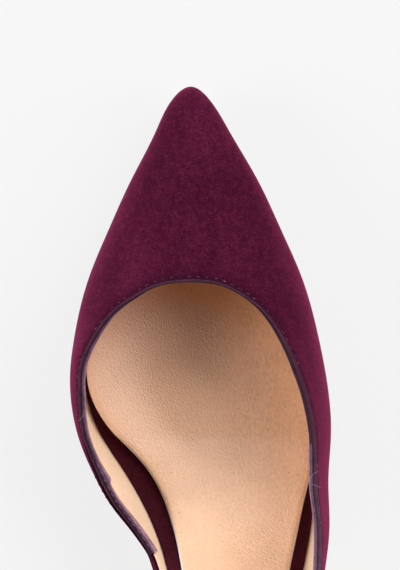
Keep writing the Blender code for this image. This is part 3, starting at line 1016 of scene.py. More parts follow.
class Shader:
    """A material's node tree, with short ways to add nodes and join them."""

    def __init__(self, name: str) -> None:
        """Starts a material with its shader and no pattern.

        Args:
            name: The material's name.
        """
        self.material = bpy.data.materials.new(name)
        self.material.use_nodes = True
        self.nodes = self.material.node_tree.nodes
        self.links = self.material.node_tree.links
        self.surface = self.nodes["Principled BSDF"]

    def add(self, kind: str, **inputs: object) -> bpy.types.Node:
        """Adds a node and sets or links its inputs.

        Args:
            kind: Blender's node type, without its ShaderNode prefix.
            **inputs: Values or sockets for the inputs, by name with _ for a space.

        Returns:
            The new node.
        """
        node = self.nodes.new("ShaderNode" + kind)
        for key, value in inputs.items():
            self.put(node.inputs[key.replace("_", " ")], value)
        return node

    def put(self, socket: Socket, value: object) -> None:
        """Links a socket to an output, or sets its value.

        Args:
            socket: The input.
            value: An output, or the value itself.
        """
        if isinstance(value, Socket):
            self.links.new(value, socket)
        elif isinstance(value, tuple) and len(value) == 3 and socket.type == "RGBA":
            socket.default_value = (*value, 1.0)
        else:
            socket.default_value = value

    def place(self, longer: tuple[float, float, float] = (1.0, 1.0, 1.0), turn: float = 0.0) -> Socket:
        """Object coordinates for a pattern that is drawn out along the axes.

        Args:
            longer: How many times longer the pattern is along each axis.
            turn: How far those axes are turned about the vertical, in degrees.

        Returns:
            The coordinates.
        """
        source = self.nodes.new("ShaderNodeTexCoord").outputs["Object"]
        node = self.add("Mapping")
        node.vector_type = "TEXTURE"
        self.put(node.inputs["Vector"], source)
        self.put(node.inputs["Scale"], longer)
        self.put(node.inputs["Rotation"], (0.0, 0.0, math.radians(turn)))
        return node.outputs[0]

    def layout(self) -> tuple[Socket, Socket]:
        """The piece's own UV map.

        Returns:
            Its two numbers.
        """
        source = self.nodes.new("ShaderNodeTexCoord").outputs["UV"]
        parts = self.add("SeparateXYZ", Vector=source)
        return parts.outputs[0], parts.outputs[1]

    def attribute(self, name: str) -> Socket:
        """A number that the mesh holds at each of its points.

        Args:
            name: The attribute's name.

        Returns:
            The number.
        """
        node = self.nodes.new("ShaderNodeAttribute")
        node.attribute_name = name
        return node.outputs["Fac"]

    def noise(self, at: Socket, scale: float, detail: float = 2.0, rough: float = 0.5) -> Socket:
        """Soft noise at a place.

        Args:
            at: The coordinates.
            scale: How many features there are to a unit.
            detail: How many finer layers it has.
            rough: How strong the finer layers are.

        Returns:
            A number round 0.5.
        """
        node = self.add("TexNoise", Vector=at, Scale=scale, Detail=detail, Roughness=rough)
        return node.outputs[0]

    def cells(self, at: Socket, scale: float, feature: str = "F1") -> bpy.types.Node:
        """A cell pattern.

        Args:
            at: The coordinates.
            scale: How many cells there are to a unit.
            feature: Blender's name for what is measured.

        Returns:
            The pattern's node.
        """
        node = self.nodes.new("ShaderNodeTexVoronoi")
        node.feature = feature
        self.put(node.inputs["Vector"], at)
        self.put(node.inputs["Scale"], scale)
        return node

    def sum(self, *terms: tuple[Socket, float]) -> Socket:
        """A weighted sum of numbers.

        Args:
            *terms: The numbers and their weights.

        Returns:
            The sum.
        """
        total: object = 0.0
        for value, weight in terms:
            total = self.math("MULTIPLY_ADD", value, weight, total)
        return total

    def math(self, operation: str, *values: object) -> Socket:
        """A calculation with one to three numbers.

        Args:
            operation: Blender's name for it.
            *values: The numbers.

        Returns:
            The result.
        """
        node = self.nodes.new("ShaderNodeMath")
        node.operation = operation
        for socket, value in zip(node.inputs, values):
            self.put(socket, value)
        return node.outputs[0]

    def span(
        self, value: Socket, low: float, high: float, to: tuple[float, float] = (0.0, 1.0)
    ) -> Socket:
        """A number eased from one range into another.

        Args:
            value: The number.
            low: Where the range starts.
            high: Where the range ends.
            to: What the range becomes.

        Returns:
            The eased number.
        """
        node = self.nodes.new("ShaderNodeMapRange")
        node.interpolation_type = "SMOOTHSTEP"
        keys = ("Value", "From Min", "From Max", "To Min", "To Max")
        for key, number in zip(keys, (value, low, high, *to)):
            self.put(node.inputs[key], number)
        return node.outputs[0]

    def ramp(self, value: Socket, stops: Sequence[tuple[float, Colour]]) -> Socket:
        """Colours along a number.

        Args:
            value: The number.
            stops: Places and their colours.

        Returns:
            The colour at the number.
        """
        node = self.add("ValToRGB", Fac=value)
        elements = node.color_ramp.elements
        while len(elements) < len(stops):
            elements.new(0.5)
        for element, (at, colour) in zip(elements, stops):
            element.position = at
            element.color = (*colour, 1.0)
        return node.outputs[0]

    def blend(self, share: object, first: object, second: object, mode: str = "MIX") -> Socket:
        """One colour over another.

        Args:
            share: How much of the second shows.
            first: The first colour.
            second: The second colour.
            mode: Blender's name for the way they mix.

        Returns:
            The mixed colour.
        """
        node = self.nodes.new("ShaderNodeMix")
        node.data_type = "RGBA"
        node.blend_type = mode
        for index, value in zip(MIX_INPUTS, (share, first, second)):
            self.put(node.inputs[index], value)
        return node.outputs[MIX_OUTPUT]

    def bump(self, height: Socket, strength: float, depth_mm: float) -> None:
        """Gives the surface relief.

        Args:
            height: The relief's height.
            strength: How strongly it shows.
            depth_mm: How deep it is at most.
        """
        node = self.add("Bump", Height=height, Strength=strength, Distance=depth_mm * MM)
        self.links.new(node.outputs[0], self.surface.inputs["Normal"])

    def finish(self, **inputs: object) -> bpy.types.Material:
        """Sets the surface's own inputs and hands over the material.

        Args:
            **inputs: Values or sockets, by name with _ for a space.

        Returns:
            The material.
        """
        for key, value in inputs.items():
            self.put(self.surface.inputs[key.replace("_", " ")], value)
        return self.material


class Finish:
    """A finish, which each kind draws in its own way."""

    def draw(self, shader: Shader) -> None:
        """Draws the pattern and sets the surface."""
        raise NotImplementedError

    def material(self, name: str) -> bpy.types.Material:
        """The finish as a material.

        Args:
            name: The material's name.

        Returns:
            The material.
        """
        shader = Shader(name)
        self.draw(shader)
        return shader.material


@dataclass(frozen=True)
class SuedeFinish(Finish):
    """Brushed suede: fine nap, soft tufts, patches where the nap lies another way, a velvet sheen."""

    dark: Colour
    middle: Colour
    light: Colour
    sheen: Colour
    sheen_weight: float = 1.0
    sheen_rough: float = 0.4
    relief: float = 0.5
    # The bound edge's colour, partly the turned suede's own deeper tone, partly painted shade; None
    # leaves the edge unmarked.
    edge_tone_and_shade: Colour | None = None

    def draw(self, shader: Shader) -> None:
        """Draws the finish.

        Args:
            shader: The material's nodes.
        """
        at = shader.place((1.0, 1.0, 2.0))
        nap = shader.noise(at, scale=2300.0, detail=2.0, rough=0.65)
        tuft = shader.noise(at, scale=640.0, detail=3.0, rough=0.6)
        lie = shader.noise(shader.place((1.0, 2.2, 1.0)), scale=70.0, detail=2.0, rough=0.5)
        tone = shader.sum((nap, 0.46), (tuft, 0.30), (lie, 0.24))
        colour = shader.ramp(tone, [(0.36, self.dark), (0.50, self.middle), (0.64, self.light)])
        if self.edge_tone_and_shade is not None:
            edge = shader.attribute("edge_mm")
            # Painted shade: the suede darkens within a few millimetres of the collar, where the wall
            # rounds over.
            painted_collar_shade = shader.span(edge, 1.5, 6.5, to=(0.3, 0.0))
            colour = shader.blend(painted_collar_shade, colour, self.dark)
            # A darker, more purple band where the suede turns in over the edge: partly its own tone,
            # partly painted shade of the crease by the tape.
            turned = shader.span(edge, 0.9, 2.4, to=(0.75, 0.0))
            colour = shader.blend(turned, colour, self.edge_tone_and_shade)
            # Painted shade: a dark line in the groove along the row of stitches.
            groove = shader.math("ABSOLUTE", shader.math("SUBTRACT", edge, Topline.stitch_in))
            seam = shader.span(groove, 0.05, 0.45, to=(0.45, 0.0))
            colour = shader.blend(seam, colour, self.dark)
        height = shader.sum((nap, 0.6), (tuft, 0.4))
        shader.bump(height, strength=self.relief, depth_mm=0.35)
        shader.finish(
            Base_Color=colour,
            Roughness=0.95,
            Specular_IOR_Level=0.03,
            Sheen_Weight=self.sheen_weight,
            Sheen_Roughness=self.sheen_rough,
            Sheen_Tint=self.sheen,
        )


@dataclass(frozen=True)
class LeatherFinish(Finish):
    """Smooth leather with a fine pebbled grain, drawn out along the shoe, a few dark pores and, if
    given, a painted highlight.
    """

    dark: Colour
    middle: Colour
    light: Colour
    pore: Colour
    grain: float = 1.0
    depth: float = 0.22
    rough: float = 0.36
    gloss: float = 0.55
    turn: float = 21.0
    # The pale tone, its run across the shoe and its share paint a highlight: the leather turns paler
    # towards the inner side.
    pale: Colour | None = None
    painted_highlight_run: tuple[float, float] = (-0.036, -0.008)
    painted_highlight_share: float = 0.5

    def draw(self, shader: Shader) -> None:
        """Draws the finish.

        Args:
            shader: The material's nodes.
        """
        round_grain = shader.place((1.0, 1.6, 1.0), self.turn)
        drawn_grain = shader.place((0.9, 2.3, 1.0), self.turn)
        pebble = shader.cells(round_grain, 2350.0, "SMOOTH_F1").outputs["Distance"]
        crease = shader.cells(drawn_grain, 2050.0, "SMOOTH_F1").outputs["Distance"]
        pebble = shader.math("MULTIPLY", pebble, 0.6)
        across = shader.add("SeparateXYZ", Vector=shader.place()).outputs[0]
        outer = shader.span(across, -0.008, 0.016)
        relief = shader.add("MapRange", Value=outer, To_Min=pebble, To_Max=crease).outputs[0]
        fine = shader.noise(round_grain, scale=1900.0, detail=2.0, rough=0.5)
        swell = shader.noise(shader.place(), scale=60.0, detail=2.0)
        height = shader.sum((relief, -0.9), (fine, 0.3))
        tone = shader.sum((fine, 0.30), (swell, 0.35), (relief, -0.42))
        colour = shader.ramp(tone, [(0.03, self.dark), (0.18, self.middle), (0.36, self.light)])
        # Painted highlight: the pale tone is blended in towards the inner side.
        if self.pale is not None:
            pale = shader.span(across, *self.painted_highlight_run, to=(self.painted_highlight_share, 0.0))
            colour = shader.blend(pale, colour, self.pale)
        spots = shader.cells(shader.place(), 460.0)
        chosen = shader.math("GREATER_THAN", spots.outputs["Color"], 0.54)
        dot = shader.span(spots.outputs["Distance"], 0.05, 0.14, to=(0.65, 0.0))
        colour = shader.blend(shader.math("MULTIPLY", dot, chosen), colour, self.pore)
        shader.bump(height, strength=self.grain, depth_mm=self.depth)
        shader.finish(
            Base_Color=colour,
            Roughness=shader.span(fine, 0.2, 0.8, to=(self.rough - 0.06, self.rough + 0.08)),
            Specular_IOR_Level=self.gloss,
        )


@dataclass(frozen=True)
class TapeFinish(Finish):
    """Woven tape with fine ribs across it; its outer and inner halves may differ in tone."""

    inner: Colour
    outer: Colour
    ribs: float = 900.0
    split: tuple[float, float] = (0.30, 0.46)
    sheen: Colour = (0.7, 0.4, 0.55)
    worn: Colour | None = None
    worn_run: tuple[float, float] = (0.36, 0.46)

    def draw(self, shader: Shader) -> None:
        """Draws the finish.

        Args:
            shader: The material's nodes.
        """
        across, along = shader.layout()
        rib = shader.math("SINE", shader.math("MULTIPLY", along, self.ribs * 2 * math.pi))
        fibre = shader.noise(shader.place(), scale=2600.0, detail=3.0, rough=0.7)
        patch = shader.noise(shader.place(), scale=330.0, detail=2.0)
        half = shader.span(across, *self.split)
        outer: object = self.outer
        if self.worn is not None:
            outer = shader.blend(shader.span(along, *self.worn_run), self.outer, self.worn)
        colour = shader.blend(half, outer, self.inner)
        wear = shader.span(shader.sum((fibre, 0.7), (patch, 0.3)), 0.35, 0.65, to=(0.55, 1.45))
        tone = shader.add("CombineXYZ", X=wear, Y=wear, Z=wear).outputs[0]
        colour = shader.blend(1.0, colour, tone, "MULTIPLY")
        height = shader.sum((rib, 0.25), (fibre, 0.75))
        shader.bump(height, strength=0.6, depth_mm=0.15)
        shader.finish(
            Base_Color=colour,
            Roughness=0.85,
            Specular_IOR_Level=0.2,
            Sheen_Weight=0.15,
            Sheen_Roughness=0.4,
            Sheen_Tint=self.sheen,
        )


@dataclass(frozen=True)
class FibreFinish(Finish):
    """A fibrous surface with a rough, mottled tone, as thread or a cut edge has."""

    dark: Colour
    light: Colour
    scale: float = 1800.0
    rough: float = 0.8
    relief: float = 0.5
    tones: tuple[float, float] = (0.34, 0.66)
    gloss: float = 0.3
    patches: float = 0.12

    def draw(self, shader: Shader) -> None:
        """Draws the finish.

        Args:
            shader: The material's nodes.
        """
        fibre = shader.noise(shader.place((1.0, 1.0, 0.55)), self.scale, detail=3.0, rough=0.65)
        patch = shader.noise(shader.place(), self.scale * self.patches, detail=2.0)
        tone = shader.sum((fibre, 0.6), (patch, 0.4))
        colour = shader.ramp(tone, list(zip(self.tones, (self.dark, self.light))))
        shader.bump(fibre, strength=self.relief, depth_mm=0.15)
        shader.finish(Base_Color=colour, Roughness=self.rough, Specular_IOR_Level=self.gloss)


@dataclass(frozen=True)
class SoleFinish(Finish):
    """Natural sole leather: close grain, faint streaks along the shoe, scuffed on the tread."""

    dark: Colour
    light: Colour
    scuff: Colour
    tread_y: float

    def draw(self, shader: Shader) -> None:
        """Draws the finish.

        Args:
            shader: The material's nodes.
        """
        streak = shader.noise(shader.place((1.0, 8.0, 1.0)), scale=420.0, detail=4.0, rough=0.6)
        close = shader.noise(shader.place(), scale=1400.0, detail=3.0, rough=0.6)
        cloud = shader.noise(shader.place(), scale=45.0, detail=3.0)
        tone = shader.sum((streak, 0.45), (close, 0.2), (cloud, 0.35))
        colour = shader.ramp(tone, [(0.36, self.dark), (0.64, self.light)])
        parts = shader.add("SeparateXYZ", Vector=shader.place())
        away = shader.math("ABSOLUTE", shader.math("SUBTRACT", parts.outputs[1], self.tread_y))
        tread = shader.span(away, 0.012, 0.034, to=(1.0, 0.0))
        worn = shader.math("MULTIPLY", tread, shader.span(close, 0.42, 0.62))
        colour = shader.blend(shader.math("MULTIPLY", worn, 0.45), colour, self.scuff)
        shader.bump(shader.sum((streak, 0.5), (close, 0.5)), strength=0.35, depth_mm=0.2)
        rough = shader.span(worn, 0.0, 1.0, to=(0.42, 0.7))
        shader.finish(Base_Color=colour, Roughness=rough, Specular_IOR_Level=0.45)


@dataclass(frozen=True)
class RubberFinish(Finish):
    """Dense dark rubber with a fine moulded tooth."""

    dark: Colour
    light: Colour

    def draw(self, shader: Shader) -> None:
        """Draws the finish.

        Args:
            shader: The material's nodes.
        """
        tooth = shader.noise(shader.place(), scale=3200.0, detail=2.0, rough=0.6)
        cloud = shader.noise(shader.place(), scale=260.0, detail=2.0)
        tone = shader.sum((tooth, 0.5), (cloud, 0.5))
        colour = shader.ramp(tone, [(0.38, self.dark), (0.62, self.light)])
        shader.bump(tooth, strength=0.3, depth_mm=0.1)
        shader.finish(Base_Color=colour, Roughness=shader.span(cloud, 0.3, 0.7, to=(0.5, 0.66)))


WINE_SUEDE = SuedeFinish(
    dark=(0.0195, 0.0012, 0.0066),
    middle=(0.050, 0.0040, 0.0175),
    light=(0.096, 0.0110, 0.037),
    sheen=(1.0, 0.115, 0.35),
    sheen_weight=0.46,
    # Darker edge tone: partly the turned suede's own, partly painted shade along the bound collar.
    edge_tone_and_shade=(0.026, 0.0040, 0.0150),
)
WINE_COVER = SuedeFinish(
    dark=(0.024, 0.0024, 0.0055),
    middle=(0.041, 0.0054, 0.0105),
    light=(0.057, 0.0085, 0.017),
    sheen=(1.0, 0.28, 0.42),
    sheen_weight=0.25,
)
SOCK_LEATHER = LeatherFinish(
    dark=(0.68, 0.41, 0.25),
    middle=(0.79, 0.48, 0.30),
    light=(0.87, 0.55, 0.36),
    pore=(0.24, 0.11, 0.06),
    # Painted highlight: the sock is paler towards its inner side.
    pale=(0.88, 0.63, 0.48),
)
LINING_LEATHER = LeatherFinish(
    dark=(0.66, 0.455, 0.305),
    middle=(0.71, 0.50, 0.345),
    light=(0.76, 0.55, 0.395),
    pore=(0.42, 0.23, 0.14),
    grain=0.25,
    rough=0.5,
    gloss=0.4,
)
EDGE_TAPE = TapeFinish(
    inner=(0.031, 0.0068, 0.0170),
    outer=(0.046, 0.0105, 0.026),
    sheen=(0.7, 0.28, 0.5),
    worn=(0.058, 0.027, 0.042),
)
FLAP_TAPE = TapeFinish(
    inner=(0.270, 0.150, 0.195), outer=(0.110, 0.050, 0.096), split=(0.17, 0.28)
)
STITCH_THREAD = FibreFinish(
    dark=(0.036, 0.0040, 0.0150),
    light=(0.23, 0.085, 0.155),
    scale=2400.0,
    tones=(0.49, 0.60),
    gloss=0.05,
)
LOOSE_THREAD = FibreFinish(dark=(0.22, 0.15, 0.20), light=(0.48, 0.38, 0.45), scale=3500.0)
WING_THREAD = FibreFinish(dark=(0.085, 0.045, 0.075), light=(0.22, 0.14, 0.19), scale=3500.0)
SOCK_EDGE = FibreFinish(dark=(0.56, 0.52, 0.48), light=(0.82, 0.79, 0.74))
SOLE_EDGE = FibreFinish(dark=(0.10, 0.045, 0.022), light=(0.20, 0.10, 0.05), rough=0.5)
SOLE_LEATHER = SoleFinish(
    dark=(0.36, 0.21, 0.115), light=(0.52, 0.33, 0.19), scuff=(0.27, 0.17, 0.11), tread_y=0.024
)
TIP_RUBBER = RubberFinish(dark=(0.010, 0.009, 0.009), light=(0.026, 0.023, 0.023))


@dataclass
class Upper:
    """The suede wall and the leather lining inside it."""

    last: Last
    vamp_columns: int = 64
    collar_columns: int = 330
    toe_crowding: float = 0.09
    wall_rows: int = 28
    wall_samples: int = 240
    edge_samples: int = 1500
    turn_rows: int = 5
    turn_under: float = 1.0
    turn_share: float = 0.3
    near_share: float = 0.5
    suede: float = 1.05
    lining: float = 0.7
    near_edge: tuple[float, ...] = (0.0, 0.35, 0.8, 1.3, 1.7, 2.05, 2.4, 2.9, 3.6)
    groove_depth: float = 0.16
    groove_reach: float = 0.4
    roll_depth: float = 0.22
    roll_reach: float = 1.3
    skived: float = 7.0
    foot_in: float = 1.95
    foot_height: float = 2.0
    foot_reach: float = 9.0
    foot_widths: tuple[float, float] = (10.0, 30.0)

    def columns(self) -> tuple[np.ndarray, np.ndarray]:
        """The wall's columns in order round the shoe, from the toe by the inner side to the toe.

        Returns:
            Each column's place on the loop and the share of the wall that it reaches.
        """
        last = self.last
        run = np.linspace(0, 1, self.vamp_columns + 1)
        run = run + self.toe_crowding * np.sin(2 * np.pi * run) * run
        inner = last.toe_at + (last.place(last.throat_u, Side.INNER) - last.toe_at) * run
        outer = last.toe_at + (last.place(last.throat_u, Side.OUTER) - last.toe_at) * run
        q = np.linspace(0, last.collar_length, self.collar_columns + 1)[1:-1]
        place, share = last.collar_at(q)
        s = np.concatenate([inner, place, outer[::-1]])
        top = np.concatenate([np.ones_like(inner), share, np.ones_like(outer)])
        return s, top

    def column_points(self, s: float, top: float, turned: bool) -> np.ndarray:
        """One column of the wall, from its top down to the foot.

        Args:
            s: The column's place on the loop.
            top: The share of the wall that it reaches.
            turned: Whether the wall turns under at its foot.

        Returns:
            The column's points.
        """
        shares = np.linspace(0, top, self.wall_samples)
        dense = self.last.points(np.full_like(shares, s), shares)
        length = running_length(dense)
        girth = length[-1]
        near = np.array(self.near_edge) * min(1.0, self.near_share * girth / self.near_edge[-1])
        foot = min(self.turn_under, self.turn_share * girth) if turned else 0.0
        down = np.concatenate([near, np.linspace(near[-1], girth - foot, self.wall_rows + 1)[1:]])
        at = np.interp(girth - down, length, shares)
        wall = self.last.points(np.full_like(at, s), at)
        if not turned:
            return wall
        corner = dense[0]
        inward = self.last.plan_inward(np.array([s]))[0]
        under = corner.copy()
        under[:2] += foot * inward
        under[2] = self.last.bottom_height(under[1])
        t = np.linspace(0, 1, self.turn_rows + 1)[1:, None]
        turn = (1 - t) ** 2 * wall[-1] + 2 * t * (1 - t) * corner + t**2 * under
        return np.vstack([wall, turn])

    def sheet(self, name: str, turned: bool) -> Piece:
        """The last's surface below the collar, as an open sheet that faces outwards.

        Args:
            name: The piece's name.
            turned: Whether the wall turns under at its foot.

        Returns:
            The sheet.
        """
        s, top = self.columns()
        columns = [self.column_points(a, b, turned) for a, b in zip(s, top)]
        points = np.stack(columns, axis=1)
        piece = add_sheet(name, self.last.to_world(points))
        face_out(piece, (1.0, 0.0, 0.0))
        return piece

    def find_edge(self, piece: Piece, topline: "Topline") -> tuple[np.ndarray, np.ndarray]:
        """How far each point of a sheet is from the bound edge of the collar.

        Args:
            piece: The sheet.
            topline: The bound edge.

        Returns:
            The distances in millimetres, and the share of the wall's thickness left at each point.
        """
        q = topline.bound(self.edge_samples)
        bound = self.last.to_world(topline.loop.frames(q)[0])
        tree = KDTree(len(bound))
        for i, point in enumerate(bound):
            tree.insert(point, i)
        tree.balance()
        found = [tree.find(point) for point in get_points(piece)]
        away = np.array([hit[2] for hit in found]) / MM
        kept = topline.binding(q[[hit[1] for hit in found]])[:, WALL]
        return away, kept + (1 - kept) * ease(away, 0.0, self.skived)

    def build(self, topline: "Topline") -> list[Piece]:
        """Makes the suede and the lining.

        Args:
            topline: The bound edge, whose stitches draw the suede in.

        Returns:
            The two pieces.
        """
        suede = self.sheet("upper_suede", True)
        away, shares = self.find_edge(suede, topline)
        attribute = suede.data.attributes.new("edge_mm", "FLOAT", "POINT")
        attribute.data.foreach_set("value", away.astype(np.float32))
        drawn = self.groove_depth * bump_curve(away, topline.stitch_in, self.groove_reach)
        rolled = self.roll_depth * np.clip(1 - away / self.roll_reach, 0, None) ** 2
        set_points(suede, get_points(suede) - get_normals(suede) * ((drawn + rolled) * MM)[:, None])
        thicken(suede, self.suede, shares)
        lining = self.sheet("lining", False)
        shares = self.find_edge(lining, topline)[1]
        depth = (self.last.wall - self.lining) * MM * shares[:, None]
        set_points(lining, self.flare_foot(get_points(lining) - get_normals(lining) * depth))
        thicken(lining, self.lining, shares)
        return [suede, lining]

    def flare_foot(self, points: np.ndarray) -> np.ndarray:
        """Brings the lining's foot in from the leaning wall, to meet the edge of the board.

        Args:
            points: The lining's points in metres.

        Returns:
            The moved points.
        """
        last = self.last
        u = last.origin_u - points[:, 1] / MM
        x = points[:, 0] / MM + last.origin_x
        line = last.outline(0.0)
        low, high = line.inner_x(u), line.outer_x(u)
        inner = x < 0.5 * (low + high)
        lean = np.where(inner, last.lean_at(u, Side.INNER), last.lean_at(u, Side.OUTER))
        board = self.foot_in + self.foot_height * np.tan(lean)
        flare = np.clip(board - last.wall / np.cos(lean), 0, None)
        height = points[:, 2] / MM - last.bottom_height(u)
        flare *= 1 - ease(height, self.foot_height, self.foot_reach)
        flare *= ease(high - low, *self.foot_widths)
        moved = points.copy()
        moved[:, 0] += np.where(inner, flare, -flare) * MM
        return moved

    def dress(self, pieces: Sequence[Piece]) -> None:
        """Gives the suede and the lining their finishes.

        Args:
            pieces: The two pieces.
        """
        suede, lining = pieces
        paint(suede, WINE_SUEDE.material("wine_suede"))
        paint(lining, LINING_LEATHER.material("lining_leather"))
        settle(suede, Slot.SUEDE, "upper")
        settle(lining, Slot.SOCK)


@dataclass
class Topline:
    """The bound edge of the collar: edge tape, inner flap and lap, stitches and loose thread ends."""

    last: Last
    seed: int = 11
    throat: Binding = Binding(0.0, 0.9, 1.05, 4.0, 0.45)
    inner: Binding = Binding(0.0, 1.15, 2.35, 0.9, 1.0)
    wing: Binding = Binding(1.3, 2.3, 3.45, 0.9, 1.0)
    outer: Binding = Binding(0.0, 1.9, 2.1, 4.5, 1.0)
    inner_run: tuple[float, float] = (8.0, 40.0)
    wing_run: tuple[float, float] = (58.5, 85.0)
    outer_run: tuple[float, float] = (4.0, 54.0)
    rings: int = 620
    tape_out: Stray = Stray(9, 0.03)
    tape_on: Stray = Stray(7, 0.05)
    flap_rag: Stray = Stray(5, 0.1)
    flap_fray: Stray = Stray(2, 0.04)
    flap_out: Stray = Stray(8, 0.04)
    lap_out: Stray = Stray(8, 0.05)
    lap_on: Stray = Stray(6, 0.08)
    tear_u: float = 120.8
    tear_run: float = 9.0
    tear_shape: float = 1.5
    tear_end: float = 1.5
    tear_out: float = 0.8
    thin_at: float = -17.0
    thin_reach: float = 10.0
    thin: float = 0.4
    lap_start_u: float = 108.0
    stitch_in: float = 1.15
    stitch_pitch: float = 2.6
    stitch_length: float = 1.7
    stitch_thick: float = 0.22
    stitch_swell: float = 0.5
    stitch_flat: float = 0.9
    stitch_lift: float = 0.10
    stitch_dive: float = 0.34
    stitch_lean: float = 0.09
    wing_stitch_on: float = 0.36
    wing_stitch_start: float = 78.0
    strand_points: int = 17
    strand_sides: int = 6
    strand_radius: float = 0.06
    strand_taper: float = 0.5
    strand_guide: tuple[float, float, float] = (0.0, 1.0, 0.3)
    tape_profile: tuple[tuple[float, float], ...] = (
        (0.05, -0.12), (0.15, -0.02), (0.14, 0.16), (0.00, 0.36), (-0.14, 0.48), (-0.28, 0.46),
        (-0.37, 0.34), (-0.44, 0.28), (-0.50, 0.34), (-0.60, 0.48), (-0.74, 0.50), (-0.87, 0.34),
        (-0.97, 0.02), (-1.00, -0.42), (-0.99, -0.95), (-0.89, -1.25), (-0.85, -0.60), (-0.74, 0.02),
        (-0.42, 0.06), (-0.09, 0.02),
    )
    flap_profile: tuple[Fold, ...] = (
        Fold(0.0, 0.12, 0.10, 0.0), Fold(0.0, 0.0, 0.30, 0.0), Fold(0.35, 0.0, 0.40, 0.0),
        Fold(0.70, 0.0, 0.32, 0.0), Fold(0.93, 0.0, 0.10, 0.0), Fold(1.0, 0.0, -0.25, 0.0),
        Fold(1.0, 0.02, 0.0, 0.5), Fold(1.0, 0.04, 0.0, 1.0), Fold(1.0, 0.22, 0.0, 1.0),
        Fold(1.0, 0.22, 0.0, 0.45), Fold(1.0, 0.24, -0.1, 0.0), Fold(0.5, 0.0, 0.12, 0.0),
    )
    lap_profile: tuple[tuple[float, float], ...] = (
        (-1.10, 0.42), (-1.20, 0.64), (-1.60, 0.68), (-2.02, 0.58), (-2.28, 0.30), (-2.38, -0.20),
        (-2.38, -1.00), (-2.34, -2.30), (-2.32, -4.30), (-2.12, -4.30), (-2.12, -1.30), (-2.00, 0.10),
    )

    def __post_init__(self) -> None:
        """Draws the collar's loop and finds where the binding starts and ends."""
        self.loop = self.last.collar_loop()
        self.front = self.last.collar_distance(self.last.bare_front_u, Side.INNER)
        self.back = self.last.collar_distance(self.last.bare_back_u, Side.INNER) - self.loop.length
        self.random = np.random.default_rng(self.seed)

    def bound(self, count: int) -> np.ndarray:
        """Distances along the bound edge, from the inner wing by the throat to the counter's end."""
        return np.linspace(self.front, self.back, count)

    def strip(self, q: np.ndarray, profiles: np.ndarray) -> np.ndarray:
        """Rings of a strip that follows the collar.

        Args:
            q: Distances along the collar, one to a ring.
            profiles: For each ring its points, out from the wall and on past the edge.

        Returns:
            The rings' points in metres.
        """
        edge, normal, beyond = self.loop.frames(q)
        out, on = profiles[..., 0:1], profiles[..., 1:2]
        return self.last.to_world(edge[:, None] + out * normal[:, None] + on * beyond[:, None])

    def wander(self, count: int, stray: Stray) -> np.ndarray:
        """An uneven column of numbers.

        Args:
            count: How many numbers.
            stray: How uneven they are.

        Returns:
            The numbers, one to a row.
        """
        knots = self.random.normal(0.0, stray.size, count // stray.every + 2)
        return np.interp(np.arange(count), np.arange(len(knots)) * stray.every, knots)[:, None]

    def binding(self, q: np.ndarray) -> np.ndarray:
        """The binding's sizes along the collar.

        Args:
            q: Distances along the collar.

        Returns:
            For each distance a row with the fields of a Binding.
        """
        throat, inner, wing, outer = np.array([self.throat, self.inner, self.wing, self.outer])
        inward = ease(q, *self.inner_run)[:, None]
        onward = ease(q, *self.wing_run)[:, None]
        outward = ease(-q, *self.outer_run)[:, None]
        rows = throat + inward * (inner - throat) + onward * (wing - inner) + outward * (outer - throat)
        tear = q - self.last.collar_distance(self.tear_u, Side.INNER)
        torn = np.clip(1 + tear / self.tear_run, 0, 1) ** self.tear_shape
        torn *= np.clip(1 - tear / self.tear_end, 0, 1)
        rows[:, RIM] += self.tear_out * torn
        rows[:, [TAPE, RIM]] -= self.thin * bump_curve(q, self.thin_at, self.thin_reach)[:, None]
        return rows

    def make_tape(self) -> Piece:
        """The dark tape folded over the edge, with a crease along its middle.

        Returns:
            The tape.
        """
        q = self.bound(self.rings)
        profiles = np.repeat(np.array(self.tape_profile)[None], self.rings, axis=0)
        turned, tape = self.binding(q).T[:2, :, None]
        reach = np.where(profiles[..., 0] < 0, tape - turned, 1.0)
        profiles[..., 0] = profiles[..., 0] * reach - turned + self.wander(self.rings, self.tape_out)
        profiles[..., 1] += self.wander(self.rings, self.tape_on)
        return add_skin("edge_tape", self.strip(q, profiles))

    def make_flap(self) -> Piece:
        """The tape's inner leg, folded over the rim and down on the lining, with a ragged, torn edge.

        Returns:
            The flap.
        """
        q = self.bound(self.rings)
        _, tape, rim, drop, _ = self.binding(q).T[..., None]
        share, under, on, fall = np.array(self.flap_profile).T
        ragged = 1 + self.wander(self.rings, self.flap_rag) + self.wander(self.rings, self.flap_fray)
        out = under - tape - share * (rim - tape)
        out = out + self.wander(self.rings, self.flap_out) * (1 - fall)
        profiles = np.stack([out, on - fall * drop * ragged], axis=-1)
        return add_skin("inner_flap", self.strip(q, profiles))

    def make_lap(self) -> Piece:
        """The second strip that laps over the flap from the outer waist backwards, with a cut end.

        Returns:
            The lap.
        """
        start = self.last.collar_distance(self.lap_start_u, Side.OUTER) - self.loop.length
        count = self.rings // 2
        q = np.linspace(start, self.back, count)
        profiles = np.repeat(np.array(self.lap_profile)[None], count, axis=0)
        profiles[..., 0] += self.wander(count, self.lap_out)
        profiles[..., 1] += self.wander(count, self.lap_on)
        return add_skin("inner_lap", self.strip(q, profiles))

    def model_stitch(self) -> Piece:
        """One stitch: a short twist of thread whose two ends dive into the suede.

        Returns:
            The stitch, along X at the origin.
        """
        bpy.ops.object.select_all(action="DESELECT")
        bpy.ops.mesh.primitive_uv_sphere_add(segments=8, ring_count=7, radius=1.0)
        stitch = bpy.context.object
        points = get_points(stitch)
        along = points[:, 2]
        half = 0.5 * self.stitch_length
        thick = 0.5 * self.stitch_thick * (1 + self.stitch_swell * (1 - np.abs(along)))
        height = self.stitch_lift - self.stitch_dive * np.abs(along) ** 3
        shaped = np.column_stack([
            along * half,
            points[:, 0] * thick,
            points[:, 1] * thick * self.stitch_flat + height,
        ])
        set_points(stitch, shaped * MM)
        return stitch

